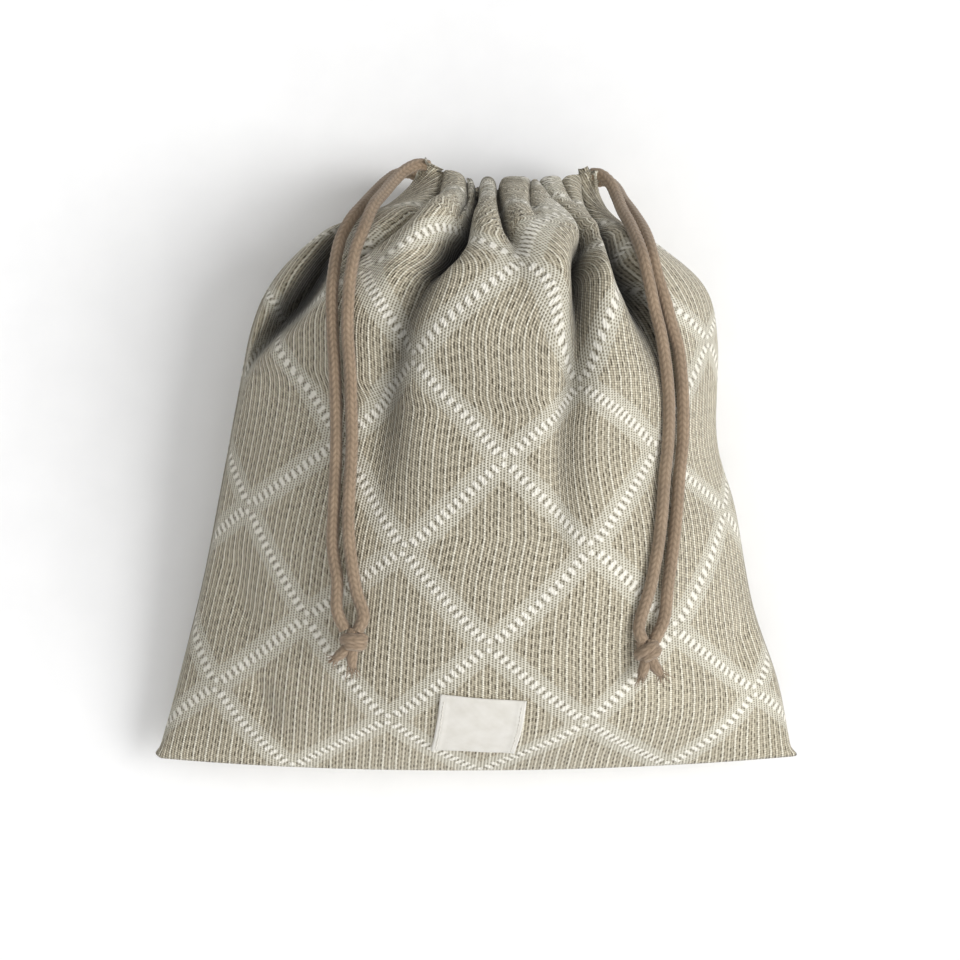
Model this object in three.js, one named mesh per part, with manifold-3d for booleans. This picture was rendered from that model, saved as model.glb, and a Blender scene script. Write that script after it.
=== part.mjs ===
// Drawstring lunch bag of heavy woven cotton, stuffed and lying on its back, in millimetres.
// X runs across the bag, +Y from the bottom fold to the mouth, +Z up from the surface it lies on.
// The tables run from the middle of the panels, and the group is then moved so that the origin is
// under the middle of the bag, on that surface.
import * as THREE from 'three';
import Module from 'manifold-3d';
import { mergeVertices } from 'three/addons/utils/BufferGeometryUtils.js';

const wasm = await Module();
wasm.setup();

// Driving dimensions
const clothWidth = 280; // seam to seam, laid flat
const clothLength = 332; // bottom fold to the top of the cord casing
const clothThick = 1.2;
const edgeBulk = 1.8; // half the thickness of the two layers at a seam or fold
const foldRound = 5; // height over which the bottom fold rounds off
const seamAllowance = 3.5; // cloth turned in at the seams and at the fold
const cordDiameter = 5;
const pieceGap = 0.3;
const foldRoom = 0.38; // the deepest fold, as a share of the space between the two panels
const narrowest = 0.7; // least half width of a fold
const rollPower = 2;
const sinkPower = 2.2;
const seamRun = 12; // the folds fade out this close to the side seams
const seamPower = 24; // higher keeps the thickness of the seams closer to the edge
const squarerBack = 0.5; // the lower panel is a little squarer than the upper one
const flatterBack = 0.92;
const innerShare = 0.7; // the cloth thins towards the edges, where the two panels meet
const labelThick = 0.8;
const knotRadius = 6.2;
// shares of the knot's radius, and the tilt of its turn
const knotShape = { width: 0.88, length: 0.92, height: 0.82, turn: 0.62, turnTilt: 72 };
const knotTail = { length: 9, spread: 26, apart: 2.6, shift: 0.8, below: 5.2, drop: 0.6 };
const outlineMiddle = { x: -2.5, y: 5 }; // the middle of the bag's outline in the tables

// How finely the cloth is divided. Above the plain part near the bottom the columns follow the folds,
// with the same number of columns from the bottom of each fold to the top of the roll beside it.
const columnsPerFlank = 3;
const rowHeights = [
  0, 5, 16, 34, 52, 76, 102, 130, 158, 184, 207, 227, 245, 261, 275, 288, 300, 311, 322, 332,
];
const plainUpTo = 54;
const foldedFrom = 110;
const leastFlank = 3.5; // cloth between two neighbouring guides of the columns
const labelColumns = { first: 26, last: 33 };
const labelRows = { first: 2, last: 4 };
const curveSamples = 420;

function table(columns, rows) {
  return rows.map((row) => Object.fromEntries(columns.map((name, i) => [name, row[i]])));
}

// One row for each cross section, by its height along the cloth. left and right are how far the
// section reaches, seamLeft and seamRight the heights of the side seams, front and back the heights
// of the upper and lower panel, and the y columns say how far towards the mouth each of them lies.
// round and lens set the outline of the upper panel, and lean moves its crown to the right.
const sections = table(
  [
    'along', 'left', 'right', 'seamLeft', 'seamRight', 'front', 'back',
    'yFront', 'yLeft', 'yRight', 'yBack', 'round', 'lens', 'lean',
  ],
  [
    [0, -141, 136, 17, 21, 41, 41, -122, -119, -118, -122, 2.0, 1.0, 0.02],
    [39, -130, 129, 23, 26, 73, 10, -100, -82, -86, -106, 2.3, 0.95, 0.08],
    [78, -119, 117, 31, 32, 92, -4, -67, -42, -52, -74, 2.3, 0.9, 0.13],
    [117, -111, 109, 38, 34, 102, -8, -31, -6, -11, -42, 2.3, 0.86, 0.15],
    [156, -104, 101, 42, 36, 107, -8, 7, 28, 18, -8, 2.3, 0.84, 0.15],
    [195, -96, 101, 44, 38, 108, -8, 44, 66, 58, 30, 2.3, 0.8, 0.12],
    [234, -85, 96, 44, 38, 103, -8, 87, 87, 80, 66, 2.3, 0.74, 0.08],
    [273, -66, 78, 38, 34, 87, -4, 110, 104, 97, 96, 2.2, 0.64, 0.04],
    [306, -39, 55, 28, 27, 66, 1, 119, 117, 114, 112, 2.2, 0.56, 0],
    [332, -24, 48, 25, 25, 48, 2, 127, 132, 130, 126, 2.2, 0.5, 0],
  ],
);

// How sharp the folds are along the cloth: soft troughs on the body, narrow slits at the mouth.
const foldPowers = table(['along', 'power'], [[0, 1.9], [200, 1.7], [250, 1.25], [290, 0.85], [332, 0.8]]);

// Each fold from the body up to the mouth: how far up the cloth, its x there, its depth and its half width.
// A depth below zero is a roll that stands out. The folds are in order across the bag.
const foldColumns = ['along', 'x', 'deep', 'wide'];
const frontFolds = {
  leftShoulder: table(foldColumns, [
    [140, -105.5, 0, 2], [160, -102, 2.5, 2], [177, -97, 7, 2.8], [190, -89, 15, 4.2], [207, -79, 24, 6],
    [230, -67.5, 27, 6.5], [252, -61, 20, 5.5], [270, -57, 9, 4], [286, -53, 0, 4],
  ]),
  leftRollEdge: table(foldColumns, [
    [130, -80, 0, 4], [198, -70, 0, 4], [228, -58, 0, 4], [242, -49, 7, 4], [254, -39, 12, 3],
    [275, -28, 13, 2], [299, -21, 11, 1.5], [318, -18, 6, 1.3], [332, -16, 2, 1.3],
  ]),
  leftRoll: table(foldColumns, [
    [215, -38, 0, 9], [238, -31, -4, 8], [262, -20, -4.5, 7], [300, -12, -1, 5], [332, -10, 0, 5],
  ]),
  shortTuck: table(foldColumns, [
    [130, -56, 0, 3], [198, -48, 0, 3], [230, -30, 0, 3], [252, -16, 0, 2], [264, -11.5, 4, 1.6],
    [280, -8.5, 7, 1.5], [305, -6, 7, 1.1], [332, -5.6, 5, 0.9],
  ]),
  leftSlit: table(foldColumns, [
    [125, -42, 0, 10], [165, -39, 5, 9], [198, -35, 7, 8], [215, -30, 8, 7.5], [228, -22, 11, 6],
    [239, -15, 22, 5], [248, -12, 30, 4.5], [257, -9.5, 29, 3.6], [266, -7, 23, 2.3], [277, -4.8, 17, 1.5],
    [306, -2, 14, 1.1], [332, -1.4, 12, 0.9],
  ]),
  middleSlit: table(foldColumns, [
    [212, 17, 0, 8], [228, 16, 2.5, 8], [242, 14.5, 5, 6.5], [253, 12.8, 9, 4], [263, 11, 14, 2.2],
    [278, 9.6, 15, 1.5], [300, 8.3, 12, 1], [332, 7.4, 8, 0.8],
  ]),
  rightCrease: table(foldColumns, [
    [262, 24, 0, 3], [282, 22, 3.5, 1.6], [305, 21, 4, 1.1], [332, 21.3, 3, 1],
  ]),
  rightValley: table(foldColumns, [
    [100, 36, 0, 9], [140, 35, 4, 8], [173, 36, 6.5, 7], [190, 39, 8.5, 6.5], [208, 41.5, 11, 5.5],
    [222, 42, 16, 4.5], [236, 42, 20, 4], [250, 42.8, 20, 3.4], [264, 44.5, 16, 2.4], [284, 39, 8, 1.7],
    [304, 32, 6, 1.4], [332, 24.6, 3.5, 1],
  ]),
  rimCrease: table(foldColumns, [
    [130, 58, 0, 3], [222, 53, 0, 3], [264, 49.5, 0, 2], [285, 45, 0, 2], [298, 41, 0, 2],
    [314, 38, 4, 1.2], [332, 34.6, 4.5, 0.9],
  ]),
  rightRoll: table(foldColumns, [
    [210, 50, 0, 5], [228, 50, -3.5, 4.5], [255, 49, -3.5, 4], [285, 46, 0, 4],
  ]),
  shoulderValley: table(foldColumns, [
    [172, 78, 0, 9], [200, 73, 6, 9], [222, 66, 14, 7.5], [238, 60, 20, 6], [256, 56, 19, 4.5],
    [276, 53, 14, 3], [306, 46, 8, 1.6], [320, 44, 3, 1.3], [332, 43, 0, 1.3],
  ]),
};
const backFolds = {
  first: table(foldColumns, [
    [120, -84, 0, 16], [165, -80, 2, 16], [252, -54, 7, 8], [305, -18, 4, 2.8], [332, -17, 3, 2.6],
  ]),
  second: table(foldColumns, [
    [120, -64, 0, 14], [165, -62, 2, 14], [252, -39, 5, 7], [305, -10, 8, 2.4], [332, -9, 7, 2.2],
  ]),
  third: table(foldColumns, [
    [130, -45, 0, 15], [165, -43, 2, 15], [252, -25, 8, 8], [305, -2, 9, 2.4], [332, -1, 8, 2.2],
  ]),
  fourth: table(foldColumns, [
    [130, -23, 0, 14], [165, -22, 2, 14], [252, -9, 5, 7], [305, 6.5, 7, 2.4], [332, 7, 7, 2.2],
  ]),
  fifth: table(foldColumns, [
    [120, -3, 0, 15], [165, -3, 2, 15], [252, 6, 7, 8], [305, 14, 9, 2.4], [332, 14, 8, 2.2],
  ]),
  sixth: table(foldColumns, [
    [130, 17, 0, 14], [165, 17, 2, 14], [252, 22, 5, 7], [305, 22, 7, 2.4], [332, 21.5, 7, 2.2],
  ]),
  seventh: table(foldColumns, [
    [130, 39, 0, 15], [165, 38, 2, 15], [252, 38, 8, 8], [305, 30, 9, 2.4], [332, 29, 8, 2.2],
  ]),
  eighth: table(foldColumns, [
    [120, 60, 0, 14], [165, 59, 2, 14], [252, 53, 6, 7], [305, 38, 7, 2.4], [332, 36.5, 6, 2.2],
  ]),
  ninth: table(foldColumns, [
    [120, 82, 0, 16], [165, 80, 2, 16], [252, 67, 6, 8], [305, 45, 4, 2.6], [332, 43, 3, 2.6],
  ]),
};
const sunkFold = 'leftShoulder'; // goes straight down beside the left seam, its width measured in plan
const isRoll = (rows) => rows.some((row) => row.deep < 0);

// The middle lines of the cord ends, from the side of the neck to the knot that ties each pair.
const cordRoutes = {
  cord_left_back: [
    [-26, 130.6, 13], [-30.5, 131.8, 18], [-35.5, 130, 26], [-39.5, 126, 35.5],
    [-43.4, 120.6, 47.2], [-48.2, 113, 63.4], [-53, 106, 72.6], [-56.5, 98.4, 76.9],
    [-58.4, 89, 82], [-59.6, 76.5, 86.9], [-59.4, 62, 88.7], [-58.4, 45, 90.4],
    [-57.8, 28, 90.9], [-57.8, 11, 90.5], [-58.8, -10, 88.6], [-59.4, -27.5, 86.4],
    [-57.6, -40, 85.9], [-57.6, -53, 85.7],
  ],
  cord_left_front: [
    [-20.6, 131.6, 40.8], [-25.6, 132.4, 42.4], [-31, 129.6, 46.5], [-35.4, 124.8, 52.5],
    [-39.2, 118.8, 62.4], [-43.4, 111.9, 74], [-47.2, 101, 84.2], [-50, 93, 87],
    [-51.6, 85, 90.1], [-52.8, 72, 92], [-53, 58, 93], [-52, 45, 94.1],
    [-51.4, 28, 94.2], [-51.2, 15, 93.9], [-52.4, -6, 92.3], [-52.8, -19, 91],
    [-51.6, -32.5, 89.9], [-49.6, -45, 89.4], [-46.8, -55, 88.5],
  ],
  cord_right_front: [
    [45.6, 128.6, 39.8], [50.2, 128.4, 40.8], [54.4, 124.4, 44.8], [56.8, 118.4, 50.6],
    [58.8, 111.4, 59.8], [61.5, 104.5, 69.8], [65.4, 91.5, 84.3], [67.8, 80.5, 87.8],
    [70.4, 69, 86.6], [73, 58.5, 85.7], [75, 45, 86.1], [76, 32, 86.5],
    [75.8, 17, 87.3], [74.2, 1.5, 89.3], [73, -13.5, 90.4], [71.2, -28, 90.6],
    [68.4, -42.5, 91], [63.8, -60, 89.7],
  ],
  cord_right_back: [
    [50, 128.4, 13], [54, 128.4, 17.5], [57.6, 124.6, 26], [60.2, 118, 38.4],
    [63.8, 110.4, 54.2], [67.6, 101, 70.2], [69.8, 91.5, 80.4], [71.9, 82, 83.6],
    [74.9, 72.5, 83.8], [77.6, 62.5, 82.9], [80.2, 54, 81.5], [81.8, 41, 80.7],
    [82.4, 28, 80.3], [82.2, 16, 80.6], [80.6, 1.5, 82.9], [79.4, -13.5, 84.7],
    [77.8, -28, 85.6], [75.8, -42.5, 86], [74.2, -56, 85.8],
  ],
};
const knotPlaces = {
  knot_left: { centre: [-51.6, -66.4, 86.2], turn: -25 },
  knot_right: { centre: [67.6, -70.6, 87.6], turn: 8 },
};
const knotOfCord = {
  cord_left_back: 'knot_left',
  cord_left_front: 'knot_left',
  cord_right_front: 'knot_right',
  cord_right_back: 'knot_right',
};

// Finishes
const clothFinish = new THREE.MeshStandardMaterial({ color: 0xb9b19c, roughness: 0.95, metalness: 0 });
const labelFinish = new THREE.MeshStandardMaterial({ color: 0xeeede6, roughness: 0.8, metalness: 0 });
const cordFinish = new THREE.MeshStandardMaterial({ color: 0xa89a8c, roughness: 0.9, metalness: 0 });

const ease = (t) => THREE.MathUtils.smoothstep(t, 0, 1);
const mix = THREE.MathUtils.lerp;

// The value of one column of a table at a height along the cloth: a smooth curve through the rows.
function slopeAt(rows, column, i) {
  const step = (a, b) => (rows[b][column] - rows[a][column]) / (rows[b].along - rows[a].along);
  if (i === 0) return step(0, 1);
  if (i === rows.length - 1) return step(i - 1, i);
  const before = rows[i].along - rows[i - 1].along;
  const after = rows[i + 1].along - rows[i].along;
  return (step(i - 1, i) * after + step(i, i + 1) * before) / (before + after);
}

function valueAt(rows, column, along) {
  const at = THREE.MathUtils.clamp(along, rows[0].along, rows.at(-1).along);
  const i = Math.min(rows.length - 2, rows.findLastIndex((row) => row.along <= at));
  const span = rows[i + 1].along - rows[i].along;
  const t = (at - rows[i].along) / span;
  const t2 = t * t;
  const t3 = t2 * t;
  return (
    (2 * t3 - 3 * t2 + 1) * rows[i][column] +
    (t3 - 2 * t2 + t) * span * slopeAt(rows, column, i) +
    (3 * t2 - 2 * t3) * rows[i + 1][column] +
    (t3 - t2) * span * slopeAt(rows, column, i + 1)
  );
}

function sectionAt(along) {
  const section = {};
  for (const column of Object.keys(sections[0])) section[column] = valueAt(sections, column, along);
  return section;
}

// A point of a smooth panel with no folds. turn runs from 0 at the left seam to 1 at the right one.
function smoothPoint(section, side, turn) {
  const across = -Math.cos(Math.PI * turn);
  const isFront = side === 'front';
  const lean = isFront ? section.lean : 0;
  const round = isFront ? section.round : section.round + squarerBack;
  const lens = isFront ? section.lens : section.lens * flatterBack;
  const crown = across - lean * (1 - across * across);
  const bow = Math.max(0, 1 - Math.abs(crown) ** round) ** lens;
  const seamHeight = mix(section.seamLeft, section.seamRight, (across + 1) / 2);
  const seamY = mix(section.yLeft, section.yRight, (across + 1) / 2);
  const middleHeight = isFront ? section.front : section.back;
  const middleY = isFront ? section.yFront : section.yBack;
  const nearFold = Math.min(1, section.along / foldRound);
  const nearSeam = Math.max(0, 1 - across ** seamPower);
  const bulk = edgeBulk * Math.sqrt(nearSeam * nearFold * (2 - nearFold));
  return new THREE.Vector3(
    mix(section.left, section.right, (across + 1) / 2),
    seamY + (middleY - (section.yLeft + section.yRight) / 2) * (1 - across * across),
    seamHeight + (middleHeight - seamHeight) * bow + (isFront ? bulk : -bulk),
  );
}

// A fold's place, depth and width at a height along the cloth.
function foldAt([name, rows], along, smooth, run) {
  const deep = valueAt(rows, 'deep', along);
  const x = valueAt(rows, 'x', along);
  return {
    x,
    place: lengthAtX(smooth, run, x),
    deep: isRoll(rows) ? Math.min(0, deep) : Math.max(0, deep),
    wide: Math.max(narrowest, valueAt(rows, 'wide', along)),
    power: isRoll(rows) ? rollPower : valueAt(foldPowers, 'power', along),
    isGuide: !isRoll(rows),
    isSunk: name === sunkFold,
  };
}

// The folded cross line of one panel at one height, with the length run from the left seam.
const panelLines = new Map();
function panelLine(side, along) {
  const key = `${side} ${along.toFixed(3)}`;
  if (panelLines.has(key)) return panelLines.get(key);
  const step = 0.5;
  const turnStep = 0.002;
  const otherSide = side === 'front' ? 'back' : 'front';
  const section = sectionAt(along);
  const below = sectionAt(Math.max(0, along - step));
  const above = sectionAt(Math.min(clothLength, along + step));
  const smooth = [];
  const inward = [];
  const room = [];
  for (let i = 0; i <= curveSamples; i += 1) {
    const turn = i / curveSamples;
    smooth.push(smoothPoint(section, side, turn));
    room.push(foldRoom * smooth[i].distanceTo(smoothPoint(section, otherSide, turn)));
    const alongBag = smoothPoint(above, side, turn).sub(smoothPoint(below, side, turn));
    const from = smoothPoint(section, side, Math.max(0, turn - turnStep));
    const acrossBag = smoothPoint(section, side, Math.min(1, turn + turnStep)).sub(from);
    const normal = acrossBag.cross(alongBag).normalize();
    inward.push(side === 'front' ? normal.negate() : normal);
  }
  const run = runLengths(smooth);
  const entries = Object.entries(side === 'front' ? frontFolds : backFolds);
  const folds = entries.map((entry) => foldAt(entry, along, smooth, run));
  const total = run[curveSamples];
  const points = smooth.map((point, i) => {
    let depth = 0;
    let sink = 0;
    for (const fold of folds) {
      const away = Math.abs(run[i] - fold.place) / fold.wide;
      const awayInPlan = Math.abs(point.x - fold.x) / fold.wide;
      if (fold.isSunk) sink += fold.deep * Math.exp(-(awayInPlan ** sinkPower));
      else depth += fold.deep * Math.exp(-(away ** fold.power));
    }
    depth *= ease(Math.min(run[i], total - run[i]) / seamRun);
    depth /= (1 + (Math.max(0, depth) / Math.max(0.1, room[i])) ** 4) ** 0.25;
    const folded = point.clone().addScaledVector(inward[i], depth);
    folded.z = Math.max(0, folded.z - sink * ease(run[i] / seamRun)); // the lower panel lies flat
    return folded;
  });
  const foldedRun = runLengths(points);
  const places = folds.filter((fold) => fold.isGuide).map((fold) => fold.place);
  const line = { points, run: foldedRun, guides: guideLengths(places, run, foldedRun) };
  panelLines.set(key, line);
  return line;
}

// Where the guides of the columns lie on the folded line: the seams, the bottom of each fold and the
// top of each roll between them.
function guideLengths(places, run, foldedRun) {
  const stops = [0, ...places, run[curveSamples]];
  const guides = [0];
  for (let i = 1; i < stops.length; i += 1) {
    guides.push(foldedLength((stops[i - 1] + stops[i]) / 2, run, foldedRun));
    guides.push(foldedLength(stops[i], run, foldedRun));
  }
  for (let i = 1; i < guides.length; i += 1) guides[i] = Math.max(guides[i], guides[i - 1] + leastFlank);
  guides[guides.length - 1] = foldedRun[curveSamples];
  for (let i = guides.length - 2; i > 0; i -= 1) guides[i] = Math.min(guides[i], guides[i + 1] - leastFlank);
  return guides;
}

function foldedLength(length, run, foldedRun) {
  const i = Math.max(1, run.findIndex((value) => value >= length - 1e-6));
  const t = (length - run[i - 1]) / Math.max(1e-6, run[i] - run[i - 1]);
  return mix(foldedRun[i - 1], foldedRun[i], THREE.MathUtils.clamp(t, 0, 1));
}

function runLengths(points) {
  const run = [0];
  for (let i = 1; i < points.length; i += 1) run.push(run[i - 1] + points[i].distanceTo(points[i - 1]));
  return run;
}

function lengthAtX(points, run, x) {
  const i = Math.max(1, points.findIndex((point) => point.x >= x));
  const t = (x - points[i - 1].x) / Math.max(1e-6, points[i].x - points[i - 1].x);
  return mix(run[i - 1], run[i], THREE.MathUtils.clamp(t, 0, 1));
}

// The outside of the cloth at a distance from the middle of the panel and a height along it.
function clothPoint(side, fromMiddle, along) {
  const { points, run } = panelLine(side, THREE.MathUtils.clamp(along, 0, clothLength));
  const wanted = THREE.MathUtils.clamp(fromMiddle / clothWidth + 0.5, 0, 1) * run[curveSamples];
  const i = Math.min(curveSamples, Math.max(1, run.findIndex((length) => length >= wanted)));
  const t = (wanted - run[i - 1]) / Math.max(1e-9, run[i] - run[i - 1]);
  return points[i - 1].clone().lerp(points[i], t);
}

function clothInward(side, fromMiddle, along) {
  const step = 0.6;
  const at = (across, up) => clothPoint(side, fromMiddle + across, along + up);
  const acrossBag = at(step, 0).sub(at(-step, 0));
  const alongBag = at(0, step).sub(at(0, -step));
  const normal = acrossBag.cross(alongBag).normalize();
  return side === 'front' ? normal.negate() : normal;
}

function middlePoint(fromMiddle, along) {
  return clothPoint('front', fromMiddle, along).lerp(clothPoint('back', fromMiddle, along), 0.5);
}

// Both faces of the cloth on one grid. The ring runs across the front and back along the lower panel.
const columnsPerPanel = columnsPerFlank * (2 * Object.keys(backFolds).length + 2);
const ringCount = 2 * columnsPerPanel;
const lastRow = rowHeights.length - 1;
const ringSide = (ring) => (ring <= columnsPerPanel ? 'front' : 'back');
const ringColumn = (ring) => (ring <= columnsPerPanel ? ring : ringCount - ring);

// How far from the middle of the panel a column lies at a height along the cloth.
function columnPlace(side, column, along) {
  const { run, guides } = panelLine(side, along);
  const flank = Math.min(guides.length - 2, Math.floor(column / columnsPerFlank));
  const length = mix(guides[flank], guides[flank + 1], column / columnsPerFlank - flank);
  const follow = ease((along - plainUpTo) / (foldedFrom - plainUpTo));
  return clothWidth * (mix(column / columnsPerPanel, length / run[curveSamples], follow) - 0.5);
}

function outerPoint(ring, row) {
  const side = ringSide(ring);
  return clothPoint(side, columnPlace(side, ringColumn(ring), rowHeights[row]), rowHeights[row]);
}

function innerPoint(ring, row) {
  const side = ringSide(ring);
  const along = rowHeights[row];
  const outerPlace = columnPlace(side, ringColumn(ring), along);
  const atSeam = Math.abs((2 * outerPlace) / clothWidth) ** seamPower;
  const place = outerPlace - Math.sign(outerPlace) * seamAllowance * atSeam;
  const onSeam = ring % columnsPerPanel === 0;
  if (onSeam || row === 0) return middlePoint(place, Math.max(seamAllowance, along));
  const outside = clothPoint(side, place, along);
  const toMiddle = outside.distanceTo(middlePoint(place, along));
  const thick = Math.min(clothThick, innerShare * toMiddle);
  return outside.addScaledVector(clothInward(side, place, along), thick);
}

function solidFrom(vertices, faces) {
  const geometry = new THREE.BufferGeometry();
  const numbers = vertices.flatMap((v) => v.toArray());
  geometry.setAttribute('position', new THREE.Float32BufferAttribute(numbers, 3));
  geometry.setIndex(faces.flat());
  return geometry;
}

function bagBody() {
  const vertices = [];
  const faces = [];
  const numbers = { outer: new Map(), inner: new Map() };
  // on the bottom fold a point of the lower panel is the point of the upper one
  const keyOf = (ring, row) => (row === 0 ? `${ringColumn(ring)} 0` : `${ring % ringCount} ${row}`);
  const vertex = (face, ring, row) => {
    const key = keyOf(ring, row);
    if (!numbers[face].has(key)) {
      numbers[face].set(key, vertices.length);
      const place = ring % ringCount;
      vertices.push(face === 'outer' ? outerPoint(place, row) : innerPoint(place, row));
    }
    return numbers[face].get(key);
  };
  const quad = (a, b, c, d) => faces.push([a, b, c], [a, c, d]);
  for (let ring = 0; ring < ringCount; ring += 1) {
    for (let row = 0; row < lastRow; row += 1) {
      const outer = [
        vertex('outer', ring, row), vertex('outer', ring + 1, row),
        vertex('outer', ring + 1, row + 1), vertex('outer', ring, row + 1),
      ];
      const inner = [
        vertex('inner', ring, row), vertex('inner', ring, row + 1),
        vertex('inner', ring + 1, row + 1), vertex('inner', ring + 1, row),
      ];
      quad(...outer);
      quad(...inner);
    }
    quad(
      vertex('outer', ring, lastRow), vertex('outer', ring + 1, lastRow),
      vertex('inner', ring + 1, lastRow), vertex('inner', ring, lastRow),
    );
  }
  return solidFrom(vertices, faces);
}

// The label lies on the facets of the upper panel, so both its faces repeat their corners.
function label() {
  const vertices = [];
  const faces = [];
  const across = labelColumns.last - labelColumns.first;
  const up = labelRows.last - labelRows.first;
  const number = (layer, column, row) => (layer * (up + 1) + row) * (across + 1) + column;
  for (const lift of [pieceGap, pieceGap + labelThick]) {
    for (let row = 0; row <= up; row += 1) {
      for (let column = 0; column <= across; column += 1) {
        const height = rowHeights[labelRows.first + row];
        const place = columnPlace('front', labelColumns.first + column, height);
        const inward = clothInward('front', place, height);
        vertices.push(clothPoint('front', place, height).addScaledVector(inward, -lift));
      }
    }
  }
  for (let row = 0; row < up; row += 1) {
    for (let column = 0; column < across; column += 1) {
      for (const layer of [0, 1]) {
        const a = number(layer, column, row);
        const b = number(layer, column + 1, row);
        const c = number(layer, column + 1, row + 1);
        const d = number(layer, column, row + 1);
        if (layer === 1) faces.push([a, b, c], [a, c, d]);
        else faces.push([a, c, b], [a, d, c]);
      }
    }
  }
  const rim = [];
  for (let column = 0; column < across; column += 1) rim.push([column, 0]);
  for (let row = 0; row < up; row += 1) rim.push([across, row]);
  for (let column = across; column > 0; column -= 1) rim.push([column, up]);
  for (let row = up; row > 0; row -= 1) rim.push([0, row]);
  rim.forEach(([column, row], i) => {
    const [nextColumn, nextRow] = rim[(i + 1) % rim.length];
    const low = number(0, column, row);
    const lowNext = number(0, nextColumn, nextRow);
    const high = number(1, column, row);
    const highNext = number(1, nextColumn, nextRow);
    faces.push([low, lowNext, highNext], [low, highNext, high]);
  });
  return solidFrom(vertices, faces);
}

const cordSection = new THREE.Shape();
const cordSides = 10;
for (let i = 0; i < cordSides; i += 1) {
  const angle = (i / cordSides) * 2 * Math.PI;
  const x = (cordDiameter / 2) * Math.cos(angle);
  const y = (cordDiameter / 2) * Math.sin(angle);
  if (i === 0) cordSection.moveTo(x, y);
  else cordSection.lineTo(x, y);
}
cordSection.closePath();

function cord(route) {
  const points = route.map((point) => new THREE.Vector3(...point));
  const extrudePath = new THREE.CatmullRomCurve3(points, false, 'centripetal');
  const steps = Math.round(extrudePath.getLength() / (2.4 * cordDiameter));
  const settings = { steps, bevelEnabled: false, extrudePath, curveSegments: 1 };
  return new THREE.ExtrudeGeometry(cordSection, settings);
}

function toManifold(geometry) {
  const bare = geometry.clone();
  bare.deleteAttribute('normal');
  bare.deleteAttribute('uv');
  const merged = mergeVertices(bare, 1e-4);
  return new wasm.Manifold(
    new wasm.Mesh({
      numProp: 3,
      vertProperties: new Float32Array(merged.attributes.position.array),
      triVerts: new Uint32Array(merged.index.array),
    }),
  );
}

function fromManifold(solid) {
  const mesh = solid.getMesh();
  const geometry = new THREE.BufferGeometry();
  geometry.setAttribute('position', new THREE.BufferAttribute(new Float32Array(mesh.vertProperties), 3));
  geometry.setIndex(new THREE.BufferAttribute(new Uint32Array(mesh.triVerts), 1));
  return geometry;
}

// An overhand knot in two cords: a tight ball, one turn lying round it, and the two cut tails below.
function knot() {
  const { width, length, height, turn, turnTilt } = knotShape;
  const ball = new THREE.SphereGeometry(knotRadius, 12, 8).scale(width, length, height);
  const wrap = new THREE.TorusGeometry(knotRadius * turn, cordDiameter / 2, 8, 14);
  wrap.rotateX(THREE.MathUtils.degToRad(turnTilt)).translate(0, 1, 0);
  let solid = toManifold(ball).add(toManifold(wrap));
  for (const side of [-1, 1]) {
    const tail = new THREE.CylinderGeometry(0.46 * cordDiameter, 0.54 * cordDiameter, knotTail.length, 8);
    tail.rotateZ(THREE.MathUtils.degToRad(knotTail.spread * side));
    tail.translate(knotTail.apart * side + knotTail.shift, -knotTail.below, -knotTail.drop * side);
    solid = solid.add(toManifold(tail));
  }
  return fromManifold(solid);
}

const bag = new THREE.Group();
bag.position.set(-outlineMiddle.x, -outlineMiddle.y, 0);

function add(name, geometry, finish) {
  const mesh = new THREE.Mesh(geometry, finish);
  mesh.name = name;
  bag.add(mesh);
  return mesh;
}

add('bag_body', bagBody(), clothFinish);
add('label', label(), labelFinish);
for (const [name, place] of Object.entries(knotPlaces)) {
  const mesh = add(name, knot(), cordFinish);
  mesh.position.set(...place.centre);
  mesh.rotation.z = THREE.MathUtils.degToRad(place.turn);
}
for (const [name, route] of Object.entries(cordRoutes)) {
  const centre = new THREE.Vector3(...knotPlaces[knotOfCord[name]].centre);
  const last = new THREE.Vector3(...route.at(-1));
  const end = last.sub(centre).setLength(knotRadius + pieceGap).add(centre);
  add(name, cord([...route, end.toArray()]), cordFinish);
}

export default bag;
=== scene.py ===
import math

import bpy
import numpy as np
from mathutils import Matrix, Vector, noise


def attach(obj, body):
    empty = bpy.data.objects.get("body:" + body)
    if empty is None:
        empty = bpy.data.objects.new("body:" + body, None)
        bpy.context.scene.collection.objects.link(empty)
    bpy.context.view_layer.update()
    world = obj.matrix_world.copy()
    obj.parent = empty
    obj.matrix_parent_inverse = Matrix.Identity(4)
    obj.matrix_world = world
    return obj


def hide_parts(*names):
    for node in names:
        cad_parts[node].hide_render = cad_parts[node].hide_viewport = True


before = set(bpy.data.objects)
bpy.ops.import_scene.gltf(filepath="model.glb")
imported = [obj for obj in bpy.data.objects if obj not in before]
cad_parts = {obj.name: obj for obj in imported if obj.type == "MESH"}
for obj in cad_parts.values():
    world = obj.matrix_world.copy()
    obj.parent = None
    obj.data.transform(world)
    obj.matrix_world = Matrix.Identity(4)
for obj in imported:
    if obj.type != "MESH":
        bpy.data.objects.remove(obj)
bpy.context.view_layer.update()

mm = 0.001
tableShift = np.array([2.5, -5.0, 0.0])  # from the middle of the panels to the middle of the outline


def toFrame(points):
    return (np.asarray(points, float) + tableShift) * mm


def linearColour(hexColour):
    channels = [int(hexColour[i:i + 2], 16) / 255 for i in (1, 3, 5)]
    return tuple(c / 12.92 if c <= 0.04045 else ((c + 0.055) / 1.055) ** 2.4 for c in channels) + (1.0,)


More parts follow.
